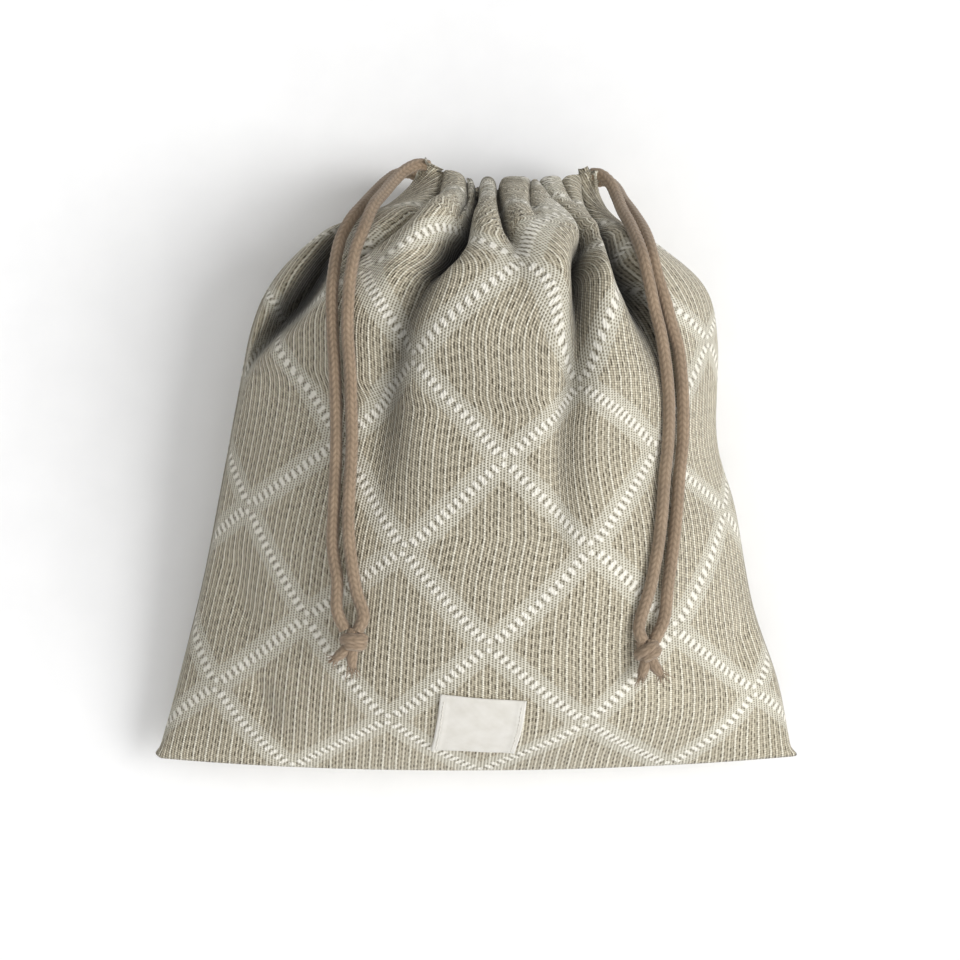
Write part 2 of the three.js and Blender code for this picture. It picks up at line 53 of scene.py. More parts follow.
def addNode(tree, kind, inputs=None, **settings):
    node = tree.nodes.new("ShaderNode" + kind)
    for name, value in settings.items():
        setattr(node, name, value)
    for socket, value in (inputs or {}).items():
        if isinstance(value, bpy.types.Node):
            tree.links.new(value.outputs[0], node.inputs[socket])
        elif isinstance(value, bpy.types.NodeSocket):
            tree.links.new(value, node.inputs[socket])
        else:
            node.inputs[socket].default_value = value
    return node


def calc(tree, operation, *values):
    return addNode(tree, "Math", dict(enumerate(values)), operation=operation)


def rescale(tree, value, fromLow, fromHigh, low=0.0, high=1.0, **settings):
    return addNode(tree, "MapRange", {0: value, 1: fromLow, 2: fromHigh, 3: low, 4: high}, **settings)


def colourRamp(tree, value, stops, interpolation="LINEAR"):
    # stops: the place of each, and its colour or lightness
    node = addNode(tree, "ValToRGB", {"Fac": value})
    node.color_ramp.interpolation = interpolation
    marks = node.color_ramp.elements
    while len(marks) < len(stops):
        marks.new(0.5)
    for mark, (place, colour) in zip(marks, stops):
        mark.position = place
        mark.color = linearColour(colour) if isinstance(colour, str) else (colour, colour, colour, 1.0)
    return node


def newMaterial(name, **sockets):
    material = bpy.data.materials.new(name)
    material.use_nodes = True
    surface = material.node_tree.nodes["Principled BSDF"]
    for socket, value in sockets.items():
        surface.inputs[socket.replace("_", " ")].default_value = value
    return material, material.node_tree


def finishSurface(tree, colour, height=None, strength=0.0, distance=0.0):
    surface = tree.nodes["Principled BSDF"]
    tree.links.new(colour.outputs[0], surface.inputs["Base Color"])
    if height:
        bump = addNode(tree, "Bump", {"Height": height, "Strength": strength, "Distance": distance})
        tree.links.new(bump.outputs[0], surface.inputs["Normal"])


def makePiece(name, points, faces, places, material, slotName, **values):
    # places: where each point lies on the flat cloth or straight cord; values: further numbers for each point
    mesh = bpy.data.meshes.new(name)
    mesh.from_pydata([tuple(p) for p in toFrame(points)], [], faces)
    mesh.materials.append(material)
    layer = mesh.uv_layers.new(name="clothPlace")
    corners = np.zeros(len(mesh.loops), int)
    mesh.loops.foreach_get("vertex_index", corners)
    layer.data.foreach_set("uv", np.asarray(places, float)[corners].ravel())
    for key, column in values.items():
        attribute = mesh.attributes.new(key, "FLOAT", "POINT")
        attribute.data.foreach_set("value", np.asarray(column, float))
    mesh.update()
    mesh.shade_smooth()
    piece = bpy.data.objects.new(name, mesh)
    bpy.context.scene.collection.objects.link(piece)
    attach(piece, "root")
    return piece


def easeIn(t):
    t = np.clip(t, 0.0, 1.0)
    return t * t * (3 - 2 * t)


def unit(vectors):
    return vectors / np.maximum(1e-9, np.linalg.norm(vectors, axis=-1, keepdims=True))


def runOf(lines):
    # how far along each line every point of it lies
    steps = np.linalg.norm(np.diff(lines, axis=-2), axis=-1)
    return np.concatenate([np.zeros(steps.shape[:-1] + (1,)), np.cumsum(steps, axis=-1)], axis=-1)


def cubic(t, start, startSlope, end, endSlope):
    # a smooth way from start to end as t goes from 0 to 1
    return (
        (2 * t**3 - 3 * t**2 + 1) * start + (t**3 - 2 * t**2 + t) * startSlope
        + (3 * t**2 - 2 * t**3) * end + (t**3 - t**2) * endSlope
    )


# Camera, straight above the bag
cameraSetup = {"height": 1150, "lens": 99, "sensor": 36}
cameraData = bpy.data.cameras.new("studio_camera")
cameraData.lens = cameraSetup["lens"]
cameraData.sensor_width = cameraSetup["sensor"]
cameraData.clip_start = 0.05
camera = bpy.data.objects.new("studio_camera", cameraData)
camera.location = toFrame([0, 0, cameraSetup["height"]])
bpy.context.scene.collection.objects.link(camera)
bpy.context.scene.camera = camera

# Cords: where each strand lies, from the side of the neck to the knot that ties each pair
cordDesign = {
    "diameter": 5.0,
    "columns": 8,        # rows of slanted lobes round the braid
    "lobePitch": 2.7,    # along the cord
    "lobeSlant": 0.9,    # of a pitch, across one column
    "relief": 0.26,
    "around": 40,
    "step": 0.36,
    "roundEnd": 1.6,
    "endShare": 0.12,    # of the section's area, left at the very end
}
cordRoutes = {
    "cord_left_back": [
        [-26, 130.6, 13], [-30.5, 131.8, 18], [-35.5, 130, 26], [-39.5, 126, 35.5], [-43.4, 120.6, 47.2],
        [-48.2, 113, 63.4], [-53, 106, 72.6], [-56.5, 98.4, 76.9], [-58.4, 89, 82], [-59.6, 76.5, 86.9],
        [-59.4, 62, 88.7], [-58.4, 45, 90.4], [-57.8, 28, 90.9], [-57.8, 11, 90.5], [-58.8, -10, 88.6],
        [-59.4, -27.5, 86.4], [-57.6, -40, 85.9], [-57.6, -53, 85.7],
    ],
    "cord_left_front": [
        [-20.6, 131.6, 40.8], [-25.6, 132.4, 42.4], [-31, 129.6, 46.5], [-35.4, 124.8, 52.5],
        [-39.2, 118.8, 62.4], [-43.4, 111.9, 74], [-47.2, 101, 84.2], [-50, 93, 87], [-51.6, 85, 90.1],
        [-52.8, 72, 92], [-53, 58, 93], [-52, 45, 94.1], [-51.4, 28, 94.2], [-51.2, 15, 93.9],
        [-52.4, -6, 92.3], [-52.8, -19, 91], [-51.6, -32.5, 89.9], [-49.6, -45, 89.4], [-46.8, -55, 88.5],
    ],
    "cord_right_front": [
        [45.6, 128.6, 39.8], [50.2, 128.4, 40.8], [54.4, 124.4, 44.8], [56.8, 118.4, 50.6],
        [58.8, 111.4, 59.8], [61.5, 104.5, 69.8], [65.4, 91.5, 84.3], [67.8, 80.5, 87.8], [70.4, 69, 86.6],
        [73, 58.5, 85.7], [75, 45, 86.1], [76, 32, 86.5], [75.8, 17, 87.3], [74.2, 1.5, 89.3],
        [73, -13.5, 90.4], [71.2, -28, 90.6], [68.4, -42.5, 91], [63.8, -60, 89.7],
    ],
    "cord_right_back": [
        [50, 128.4, 13], [54, 128.4, 17.5], [57.6, 124.6, 26], [60.2, 118, 38.4], [63.8, 110.4, 54.2],
        [67.6, 101, 70.2], [69.8, 91.5, 80.4], [71.9, 82, 83.6], [74.9, 72.5, 83.8], [77.6, 62.5, 82.9],
        [80.2, 54, 81.5], [81.8, 41, 80.7], [82.4, 28, 80.3], [82.2, 16, 80.6], [80.6, 1.5, 82.9],
        [79.4, -13.5, 84.7], [77.8, -28, 85.6], [75.8, -42.5, 86], [74.2, -56, 85.8],
    ],
}
knotDesign = {
    "radius": 6.2,
    "gap": 0.3,
    "places": {
        "knot_left": {
            "centre": [-51.6, -66.4, 86.2], "turn": -25, "cords": ["cord_left_back", "cord_left_front"],
        },
        "knot_right": {
            "centre": [67.6, -70.6, 87.6], "turn": 8, "cords": ["cord_right_front", "cord_right_back"],
        },
    },
}


def smoothRoute(route, step):
    # centripetal curve through the points, then even steps along it
    points = np.asarray(route, float)
    points = np.vstack([2 * points[0] - points[1], points, 2 * points[-1] - points[-2]])
    line = []
    for i in range(1, len(points) - 2):
        a, b, c, d = points[i - 1:i + 3]
        ab, bc, cd = (np.linalg.norm(q - p) ** 0.5 for p, q in ((a, b), (b, c), (c, d)))
        startSlope = ((b - a) / ab - (c - a) / (ab + bc) + (c - b) / bc) * bc
        endSlope = ((c - b) / bc - (d - b) / (bc + cd) + (d - c) / cd) * bc
        for t in np.linspace(0, 1, 40, endpoint=i == len(points) - 3):
            line.append(cubic(t, b, startSlope, c, endSlope))
    line = np.array(line)
    run = runOf(line)
    count = max(2, int(round(run[-1] / step)) + 1)
    even = np.linspace(0, run[-1], count)
    return np.stack([np.interp(even, run, line[:, k]) for k in range(3)], axis=-1), run[-1]


def tubeFrames(line, firstSide):
    # a frame that doesn't twist, carried along the line
    ahead = unit(np.gradient(line, axis=0))
    side = np.zeros_like(line)
    side[0] = unit(np.asarray(firstSide, float) - ahead[0] * np.dot(firstSide, ahead[0]))
    for i in range(1, len(line)):
        side[i] = unit(side[i - 1] - ahead[i] * np.dot(side[i - 1], ahead[i]))
    return ahead, side, np.cross(ahead, side)


def braidedTube(line, radius, design, phase=0.0, taper=None):
    # rings of points with the lobes of the braid standing out, and the height of each point in them
    around = design["around"]
    ahead, side, up = tubeFrames(line, [1, 0, 0.2])
    run = runOf(line)
    angle = np.arange(around) / around
    column = angle * design["columns"]
    within = column - np.floor(column)
    direction = np.where(np.floor(column) % 2 == 0, 1.0, -1.0)
    slant = direction * (within - 0.5) * design["lobeSlant"]
    alongLobe = run[:, None] / design["lobePitch"] + slant[None, :] + phase
    across = np.abs(np.sin(np.pi * within)) ** 0.35
    lobe = np.abs(np.sin(np.pi * alongLobe)) ** 0.6 * (0.35 + 0.65 * across[None, :])
    size = np.ones(len(line)) if taper is None else np.asarray(taper)
    rings = radius * size[:, None] + design["relief"] * (lobe - 0.62) * size[:, None]
    turn = 2 * np.pi * angle
    offsets = np.cos(turn)[None, :, None] * side[:, None, :] + np.sin(turn)[None, :, None] * up[:, None, :]
    points = line[:, None, :] + rings[:, :, None] * offsets
    places = np.stack(np.broadcast_arrays(angle[None, :] * 2 * np.pi * radius, run[:, None]), axis=-1)
    return points.reshape(-1, 3), lobe.ravel(), places.reshape(-1, 2)


def tubeFaces(rings, around, start=0):
    faces = []
    for i in range(rings - 1):
        for j in range(around):
            a = start + i * around + j
            b = start + i * around + (j + 1) % around
            faces.append((a, b, b + around, a + around))
    faces.append(tuple(start + j for j in reversed(range(around))))
    faces.append(tuple(start + (rings - 1) * around + j for j in range(around)))
    return faces


# Braided cotton cord, soft-laid: matt, with painted shade in the dark gaps between the lobes, and a light
# fuzz
cordColours = {"gap": "#6A5B49", "side": "#8B7862", "top": "#9E8973", "fibre": "#B29E87"}


def braidedCotton():
    material, tree = newMaterial(
        "braided_cotton_cord", Roughness=0.9, Sheen_Weight=0.25, Sheen_Roughness=0.6, Specular_IOR_Level=0.25
    )
    relief = addNode(tree, "Attribute", attribute_name="lobeHeight")
    place = addNode(tree, "UVMap", uv_map="clothPlace")
    stretched = addNode(tree, "Mapping", {"Vector": place, "Scale": (2.4, 0.7, 1.0)})
    fibre = addNode(tree, "TexNoise", {"Vector": stretched, "Scale": 2.2, "Detail": 3.0, "Roughness": 0.6})
    patches = addNode(tree, "TexNoise", {"Vector": place, "Scale": 0.09, "Detail": 1.0})
    strands = rescale(tree, fibre, 0.0, 1.0, -0.1, 0.62)
    raised = calc(tree, "MULTIPLY_ADD", relief.outputs["Fac"], 0.55, strands)
    # painted shade: the colour is darker where the lobes sink into the gaps between them
    colour = colourRamp(tree, raised, list(zip((0.12, 0.45, 0.75, 1.0), cordColours.values())))
    lightness = rescale(tree, patches, 0.3, 0.7, 0.88, 1.08)
    toned = addNode(tree, "HueSaturation", {"Color": colour, "Value": lightness})
    finishSurface(tree, toned, fibre, 0.6, 0.0003)
    return material


def layCord(cordName, knotPlace):
    # from the neck to the knot, rounded off at the end that the casing covers
    step = cordDesign["step"]
    route = np.array(cordRoutes[cordName], float)
    centre = np.array(knotPlace["centre"], float)
    meeting = centre + unit(route[-1] - centre) * (knotDesign["radius"] + knotDesign["gap"])
    line, cordLength = smoothRoute([*route, meeting], step)
    fromEnd = np.minimum(1, np.arange(len(line)) * step / cordDesign["roundEnd"])
    rounding = np.sqrt(np.maximum(cordDesign["endShare"], 1 - (1 - fromEnd) ** 2))
    points, lobe, places = braidedTube(line, cordDesign["diameter"] / 2, cordDesign, taper=rounding)
    faces = tubeFaces(len(line), cordDesign["around"])
    name = cordName.replace("cord_", "braid_")
    cord = makePiece(name, points, faces, places, cordMaterial, "braided_cord", lobeHeight=lobe)
    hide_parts(cordName)
    print("cord", cordName, round(cordLength, 1), "mm")
    return line


cordMaterial = braidedCotton()
cordLines = {
    cordName: layCord(cordName, knotPlace)
    for knotPlace in knotDesign["places"].values() for cordName in knotPlace["cords"]
}

# The bag, as one cloth folded at the bottom and sewn at the sides
bagDesign = {
    "clothWidth": 280.0,
    "clothLength": 332.0,
    "clothThick": 1.2,
    "hemThick": 2.6,
    "hemDeep": 16.0,
    "hemStep": 5.0,       # the way over which the cloth thickens to the hem
    "mostThick": 0.7,     # share of the way to the middle of the bag that the cloth may take up
    "seamAllowance": 1.4,  # how far inside the edge the inner faces meet, and the same at the bottom fold
    "foldAllowance": 1.6,
    "edgeBulk": 1.8,      # each panel stands out by this from seam to seam, rounded off at them
    "foldRound": 5.0,     # the same is rounded off at the bottom fold within this
    "foldRoom": 0.38,     # share of the way to the other panel that a fold may take
    "seamRun": 12.0,      # within this of a seam the folds die away
    "mostHidden": 3.0,    # most cloth taken up in a slit, for each mm of its depth
    "seamPower": 24,
    "squarerBack": 0.5,   # how the back's section differs from the front's
    "flatterBack": 0.92,
    "narrowest": 0.7,     # least half width of a fold
    "probe": (0.5, 0.002),  # steps along and across to take the surface's direction from
    "rollPower": 2.0,
    "sinkPower": 2.2,
    "samples": 600,
    "columns": 172,       # even, per panel
    "rows": 206,          # even
    "cornerRound": (5.5, 1.6),  # left and right
    "casingRound": 1.0,   # of the casing over the cord
    "casingReach": 13.0,
    "inCasing": 4.5,      # length of each cord's end that the casing covers
    "seamGroove": 2.4,
    "seamGrooveWide": {"front": 4.4, "back": 1.7},
    "slackHeight": 0.7,   # gentle unevenness of the stuffed cloth
    "slackSize": (34.0, 51.0),      # across and along
    "fineSlack": 0.28,    # share of a finer unevenness, and its size
    "fineSlackSize": (9.0, 14.0),
    "calmSeam": 14.0,     # within this of a seam, and of the bottom fold, the slack dies away
    "calmFold": 12.0,
    "grooveStart": 6.0,
    "offFloor": 0.05,
    "cordClear": 0.12,
    "shadeWithin": 1.1,   # how much narrower the shade of a fold is than the fold
    "shadePower": 1.7,
    "slitWithin": 2.0,    # the same for the cloth taken up in it
    "sunkSlit": 0.5,      # share of that in a sunk fold
    "limitPower": 4,      # how suddenly a fold stops where its room ends
    # painted shade: the folds listed below get more of it, as they let less light in
    "moreShadedFolds": {"leftSlit": 1.6, "shoulderValley": 2.3, "rightValley": 1.1},  # these let less light in
}
sectionColumns = [
    "along", "left", "right", "seamLeft", "seamRight", "front", "back",
    "yFront", "yLeft", "yRight", "yBack", "round", "lens", "lean",
]
sectionRows = np.array([
    [0, -141, 136, 17, 21, 41, 41, -122, -119, -118, -122, 2.0, 1.0, 0.02],
    [39, -130, 129, 23, 26, 73, 10, -100, -82, -86, -106, 2.3, 0.95, 0.08],
    [78, -119, 117, 31, 32, 92, -4, -67, -42, -52, -74, 2.3, 0.9, 0.13],
    [117, -111, 109, 38, 34, 102, -8, -31, -6, -11, -42, 2.3, 0.86, 0.15],
    [156, -104, 101, 42, 36, 107, -8, 7, 28, 18, -8, 2.3, 0.84, 0.15],
    [195, -96, 101, 44, 38, 108, -8, 44, 66, 58, 30, 2.3, 0.8, 0.12],
    [234, -85, 96, 44, 38, 103, -8, 87, 87, 80, 66, 2.3, 0.74, 0.08],
    [273, -66, 78, 38, 34, 87, -4, 110, 104, 97, 96, 2.2, 0.64, 0.04],
    [306, -39, 55, 28, 27, 66, 1, 119, 117, 114, 112, 2.2, 0.56, 0],
    [332, -24, 48, 25, 25, 48, 2, 127, 132, 130, 126, 2.2, 0.5, 0],
])
# each fold from the body up to the mouth: how far up the cloth, its x there, its depth and its half width;
# a depth below zero is a roll that stands out
foldPowers = np.array([[0, 1.9], [200, 1.7], [250, 1.25], [290, 0.85], [332, 0.8]])
frontFolds = {
    "leftRollEdge": [
        (130, -80, 0, 4), (198, -70, 0, 4), (228, -58, 0, 4), (242, -49, 7, 4), (254, -39, 12, 3),
        (275, -28, 13, 2), (299, -21, 11, 1.5), (318, -18, 6, 1.3), (332, -16, 2, 1.3),
    ],
    "leftRoll": [
        (215, -38, 0, 9), (238, -31, -4, 8), (262, -20, -4.5, 7), (300, -12, -1, 5), (332, -10, 0, 5),
    ],
    "shortTuck": [
        (130, -56, 0, 3), (198, -48, 0, 3), (230, -30, 0, 3), (252, -16, 0, 2), (264, -11.5, 4, 1.6),
        (280, -8.5, 7, 1.5), (305, -6, 7, 1.1), (332, -5.6, 5, 0.9),
    ],
    "leftSlit": [
        (125, -42, 0, 10), (165, -39, 5, 9), (198, -35, 7, 8), (215, -30, 8, 7.5), (228, -22, 11, 6),
        (239, -15, 22, 5), (248, -12, 30, 4.5), (257, -9.5, 29, 3.6), (266, -7, 23, 2.3),
        (277, -4.8, 17, 1.5), (306, -2, 14, 1.1), (332, -1.4, 12, 0.9),
    ],
    "middleSlit": [
        (212, 17, 0, 8), (228, 16, 2.5, 8), (242, 14.5, 5, 6.5), (253, 12.8, 9, 4), (263, 11, 14, 2.2),
        (278, 9.6, 15, 1.5), (300, 8.3, 12, 1), (332, 7.4, 8, 0.8),
    ],
    "rightCrease": [(262, 24, 0, 3), (282, 22, 3.5, 1.6), (305, 21, 4, 1.1), (332, 21.3, 3, 1)],
    "rightValley": [
        (100, 36, 0, 9), (140, 35, 4, 8), (173, 36, 6.5, 7), (190, 39, 8.5, 6.5), (208, 41.5, 11, 5.5),
        (222, 42, 16, 4.5), (236, 42, 20, 4), (250, 42.8, 20, 3.4), (264, 44.5, 16, 2.4), (284, 39, 8, 1.7),
        (304, 32, 6, 1.4), (332, 24.6, 3.5, 1),
    ],
    "rimCrease": [
        (130, 58, 0, 3), (222, 53, 0, 3), (264, 49.5, 0, 2), (285, 45, 0, 2), (298, 41, 0, 2),
        (314, 38, 4, 1.2), (332, 34.6, 4.5, 0.9),
    ],
    "rightRoll": [(210, 50, 0, 5), (228, 50, -3.5, 4.5), (255, 49, -3.5, 4), (285, 46, 0, 4)],
    "shoulderValley": [
        (172, 78, 0, 9), (200, 73, 6, 9), (222, 66, 14, 7.5), (238, 60, 20, 6), (256, 56, 19, 4.5),
        (276, 53, 14, 3), (306, 46, 8, 1.6), (320, 44, 3, 1.3), (332, 43, 0, 1.3),
    ],
}
# the deep valley where the upper panel falls over the left seam: as the folds, but straight down, and the
# width is measured in plan
sunkFolds = {
    "leftShoulder": [
        (140, -105.5, 0, 2), (160, -102, 2.5, 2), (177, -97, 7, 2.8), (190, -89, 15, 4.2),
        (207, -79, 24, 6), (230, -67.5, 27, 6.5), (252, -61, 20, 5.5), (270, -57, 9, 4), (286, -53, 0, 4),
    ],
}
backFolds = {
    "first": [
        (120, -84, 0, 16), (165, -80, 2, 16), (252, -54, 7, 8), (305, -18, 4, 2.8), (332, -17, 3, 2.6),
    ],
    "second": [
        (120, -64, 0, 14), (165, -62, 2, 14), (252, -39, 5, 7), (305, -10, 8, 2.4), (332, -9, 7, 2.2),
    ],
    "third": [(130, -45, 0, 15), (165, -43, 2, 15), (252, -25, 8, 8), (305, -2, 9, 2.4), (332, -1, 8, 2.2)],
    "fourth": [(130, -23, 0, 14), (165, -22, 2, 14), (252, -9, 5, 7), (305, 6.5, 7, 2.4), (332, 7, 7, 2.2)],
    "fifth": [(120, -3, 0, 15), (165, -3, 2, 15), (252, 6, 7, 8), (305, 14, 9, 2.4), (332, 14, 8, 2.2)],
    "sixth": [(130, 17, 0, 14), (165, 17, 2, 14), (252, 22, 5, 7), (305, 22, 7, 2.4), (332, 21.5, 7, 2.2)],
    "seventh": [(130, 39, 0, 15), (165, 38, 2, 15), (252, 38, 8, 8), (305, 30, 9, 2.4), (332, 29, 8, 2.2)],
    "eighth": [(120, 60, 0, 14), (165, 59, 2, 14), (252, 53, 6, 7), (305, 38, 7, 2.4), (332, 36.5, 6, 2.2)],
    "ninth": [(120, 82, 0, 16), (165, 80, 2, 16), (252, 67, 6, 8), (305, 45, 4, 2.6), (332, 43, 3, 2.6)],
}
# Small creases of the upper panel, seen from above: three places along each, then depth and half width.
# A depth below zero is a ridge.
softCreases = [
    [-104, -28, -101, -45, -96, -62, 1.6, 6],
    [-94, -80, -90, -95, -86, -106, 1.8, 5],
    [110, -58, 109, -72, 106, -84, 1.8, 5],
]


# How the gathers pull the cloth sideways near the mouth: place across the cloth, then the shift
gatherPull = [(-140, 0), (-76, -9), (-37, -8), (3, -6), (42, 0), (81, 5), (140, 0)]
# and where it has slipped besides: place across and up, shift across and up, reach
slippedPatches = [(42, 190, 0, 9, 25), (-76, 236, -5, 8, 30), (3, 236, 3, 0, 22), (81, 236, 6, -6, 25)]


def smoothRows(rows, along):
    # a smooth curve through the rows, whose first column is the place along the cloth
    places = rows[:, 0]
    spans = np.diff(places)
    steps = np.diff(rows, axis=0) / spans[:, None]
    slopes = np.vstack([
        steps[:1],
        (steps[:-1] * spans[1:, None] + steps[1:] * spans[:-1, None]) / (spans[1:] + spans[:-1])[:, None],
        steps[-1:],
    ])
    at = np.clip(along, places[0], places[-1])
    i = np.clip(np.searchsorted(places, at, side="right") - 1, 0, len(spans) - 1)
    span = spans[i][:, None]
    t = ((at - places[i]) / spans[i])[:, None]
    return cubic(t, rows[i], span * slopes[i], rows[i + 1], span * slopes[i + 1])


def sectionAt(along):
    values = smoothRows(sectionRows, along)
    return {name: values[:, k:k + 1] for k, name in enumerate(sectionColumns)}


def smoothPanel(section, side, turn):
    isFront = side == "front"
    across = -np.cos(np.pi * turn)[None, :]
    lean = section["lean"] if isFront else 0.0
    roundness = section["round"] + (0 if isFront else bagDesign["squarerBack"])
    lens = section["lens"] * (1 if isFront else bagDesign["flatterBack"])
    crown = across - lean * (1 - across**2)
    bow = np.maximum(0, 1 - np.abs(crown) ** roundness) ** lens
    share = (across + 1) / 2
    seamHeight = section["seamLeft"] + (section["seamRight"] - section["seamLeft"]) * share
    seamY = section["yLeft"] + (section["yRight"] - section["yLeft"]) * share
    middleHeight = section["front" if isFront else "back"]
    middleY = section["yFront" if isFront else "yBack"]
    nearFold = np.clip(section["along"] / bagDesign["foldRound"], 0, 1)
    bulk = bagDesign["edgeBulk"] * np.sqrt(np.maximum(0, 1 - across ** bagDesign["seamPower"]))
    bulk = bulk * np.sqrt(nearFold * (2 - nearFold))
    x = section["left"] + (section["right"] - section["left"]) * share
    y = seamY + (middleY - (section["yLeft"] + section["yRight"]) / 2) * (1 - across**2)
    z = seamHeight + (middleHeight - seamHeight) * bow + (bulk if isFront else -bulk)
    return np.stack(np.broadcast_arrays(x, y, z), axis=-1)


def foldAt(rows, along):
    # the place, depth and half width of a fold, or of a roll, at each height
    _, x, deep, wide = smoothRows(np.array(rows, float), along).T
    isRoll = min(row[2] for row in rows) < 0
    deep = np.minimum(0, deep) if isRoll else np.maximum(0, deep)
    return x[:, None], deep[:, None], np.maximum(bagDesign["narrowest"], wide)[:, None]


def foldedPanel(side, along):
    turn = np.linspace(0, 1, bagDesign["samples"] + 1)
    section = sectionAt(along)
    other = smoothPanel(section, "back" if side == "front" else "front", turn)
    smooth = smoothPanel(section, side, turn)
    room = bagDesign["foldRoom"] * np.linalg.norm(smooth - other, axis=-1)
    stepUp, stepAcross = bagDesign["probe"]
    above = smoothPanel(sectionAt(np.minimum(bagDesign["clothLength"], along + stepUp)), side, turn)
    below = smoothPanel(sectionAt(np.maximum(0, along - stepUp)), side, turn)
    right = smoothPanel(section, side, np.minimum(1, turn + stepAcross))
    left = smoothPanel(section, side, np.maximum(0, turn - stepAcross))
    normal = unit(np.cross(right - left, above - below))
    inward = -normal if side == "front" else normal
    run = runOf(smooth)
    depth = np.zeros(run.shape)
    # shade: how much each point's colour is darkened by the folds near it, as painted shade
    shade = np.zeros(run.shape)
    slits = np.full(run.shape, 1e-6)
    power = smoothRows(foldPowers, along)[:, 1:2]
    for foldName, rows in (frontFolds if side == "front" else backFolds).items():
        x, deep, wide = foldAt(rows, along)
        place = np.array([np.interp(x[i, 0], smooth[i, :, 0], run[i]) for i in range(len(along))])
        away = np.abs(run - place[:, None]) / wide
        isRoll = deep.min() < 0
        depth += deep * np.exp(-(away ** (bagDesign["rollPower"] if isRoll else power)))
        trough = np.maximum(0, deep)
        slits += trough * np.exp(-((bagDesign["slitWithin"] * away) ** 2))
        shadeGain = bagDesign["moreShadedFolds"].get(foldName, 1.0)
        shade += shadeGain * trough * np.exp(-((bagDesign["shadeWithin"] * away) ** bagDesign["shadePower"]))
    depth *= easeIn(np.minimum(run, run[:, -1:] - run) / bagDesign["seamRun"])
    room = np.maximum(0.1, room)
    limit = bagDesign["limitPower"]
    pushed = depth / (1 + (np.maximum(0, depth) / room) ** limit) ** (1 / limit)
    folded = smooth + inward * pushed[:, :, None]
    if side == "front":
        for rows in sunkFolds.values():
            x, deep, wide = foldAt(rows, along)
            sink = deep * np.exp(-(np.abs((smooth[:, :, 0] - x) / wide) ** bagDesign["sinkPower"]))
            sink *= easeIn(run / bagDesign["seamRun"])
            folded[:, :, 2] = np.maximum(0, folded[:, :, 2] - sink)
            shade += sink
            slits += bagDesign["sunkSlit"] * sink
    return folded, slits, shade


def clothRun(lines, slits):
    # how far across the cloth each point is: the cloth that the gathers take up lies in the slits
    run = runOf(lines)
    steps = np.diff(run, axis=1)
    hidden = (slits[:, 1:] + slits[:, :-1]) / 2 * steps
    spare = np.maximum(0, bagDesign["clothWidth"] - run[:, -1:])
    share = np.minimum(bagDesign["mostHidden"], spare / hidden.sum(axis=1, keepdims=True))
    cloth = np.concatenate([np.zeros((len(lines), 1)), np.cumsum(steps + share * hidden, axis=1)], axis=1)
    return run, cloth * bagDesign["clothWidth"] / cloth[:, -1:]


def panelGrid(side, along, fractions):
    # points at even steps across the folded panel, their place across the flat cloth, and the painted shade
    # of the folds at each
    lines, slits, shade = foldedPanel(side, along)
    run, cloth = clothRun(lines, slits)
    grid = np.zeros((len(along), len(fractions), 3))
    places = np.zeros(grid.shape[:2])
    paintedShades = np.zeros(grid.shape[:2])
    for i in range(len(along)):
        wanted = fractions * run[i, -1]
        paintedShades[i] = np.interp(wanted, run[i], shade[i])
        places[i] = np.interp(wanted, run[i], cloth[i])
        for k in range(3):
            grid[i, :, k] = np.interp(wanted, run[i], lines[i, :, k])
    return grid, pulledAskew(places - bagDesign["clothWidth"] / 2, along[:, None]), paintedShades


def pulledAskew(across, up):
    # where on the flat cloth each point lies, once the gathers have pulled the cloth out of line
    sideways = np.interp(across, *np.array(gatherPull).T) * easeIn((up - 100) / 120)
    place = np.stack(np.broadcast_arrays(across + sideways, up), axis=-1)
    for u, v, shiftAcross, shiftUp, reach in slippedPatches:
        near = np.exp(-(((across - u) / reach) ** 2) - ((up - v) / reach) ** 2)
        place += near[:, :, None] * [shiftAcross, shiftUp]
    return place


def outwardNormals(grid, side):
    across = np.gradient(grid, axis=1)
    up = np.gradient(grid, axis=0)
    normal = unit(np.cross(across, up))
    return normal if side == "front" else -normal


def awayFromLine(points, corners):
    # distance from a line of short straight runs in plan, and how far along it, from 0 to 1
    best = np.full(points.shape[:-1], 1e9)
    share = np.zeros(points.shape[:-1])
    runs = len(corners) - 1
    for i in range(runs):
        a = np.array(corners[i], float)
        ab = np.array(corners[i + 1], float) - a
        t = np.clip(((points - a) @ ab) / (ab @ ab), 0, 1)
        distance = np.linalg.norm(points - a - t[..., None] * ab, axis=-1)
        nearer = distance < best
        best = np.where(nearer, distance, best)
        share = np.where(nearer, (i + t) / runs, share)
    return best, share


def pressUnderCords(grid, clear):
    # the cords lie in the cloth, so it gives way where it would touch them
    flat = grid.reshape(-1, 3)
    for line in cordLines.values():
        near = line[int(bagDesign["inCasing"] / cordDesign["step"])::3]
        low, high = near.min(axis=0) - 6, near.max(axis=0) + 6
        chosen = np.nonzero(np.all((flat > low) & (flat < high), axis=1))[0]
        for part in np.array_split(chosen, max(1, len(chosen) // 2000)):
            gap = flat[part][:, None, :] - near[None, :, :]
            distance = np.linalg.norm(gap, axis=-1)
            closest = distance.argmin(axis=1)
            least = distance[np.arange(len(part)), closest]
            wanted = cordDesign["diameter"] / 2 + clear
            inside = least < wanted
            direction = gap[np.arange(len(part)), closest] / np.maximum(1e-6, least)[:, None]
            moved = near[closest] + direction * wanted
            flat[part[inside]] = moved[inside]
    return flat.reshape(grid.shape)


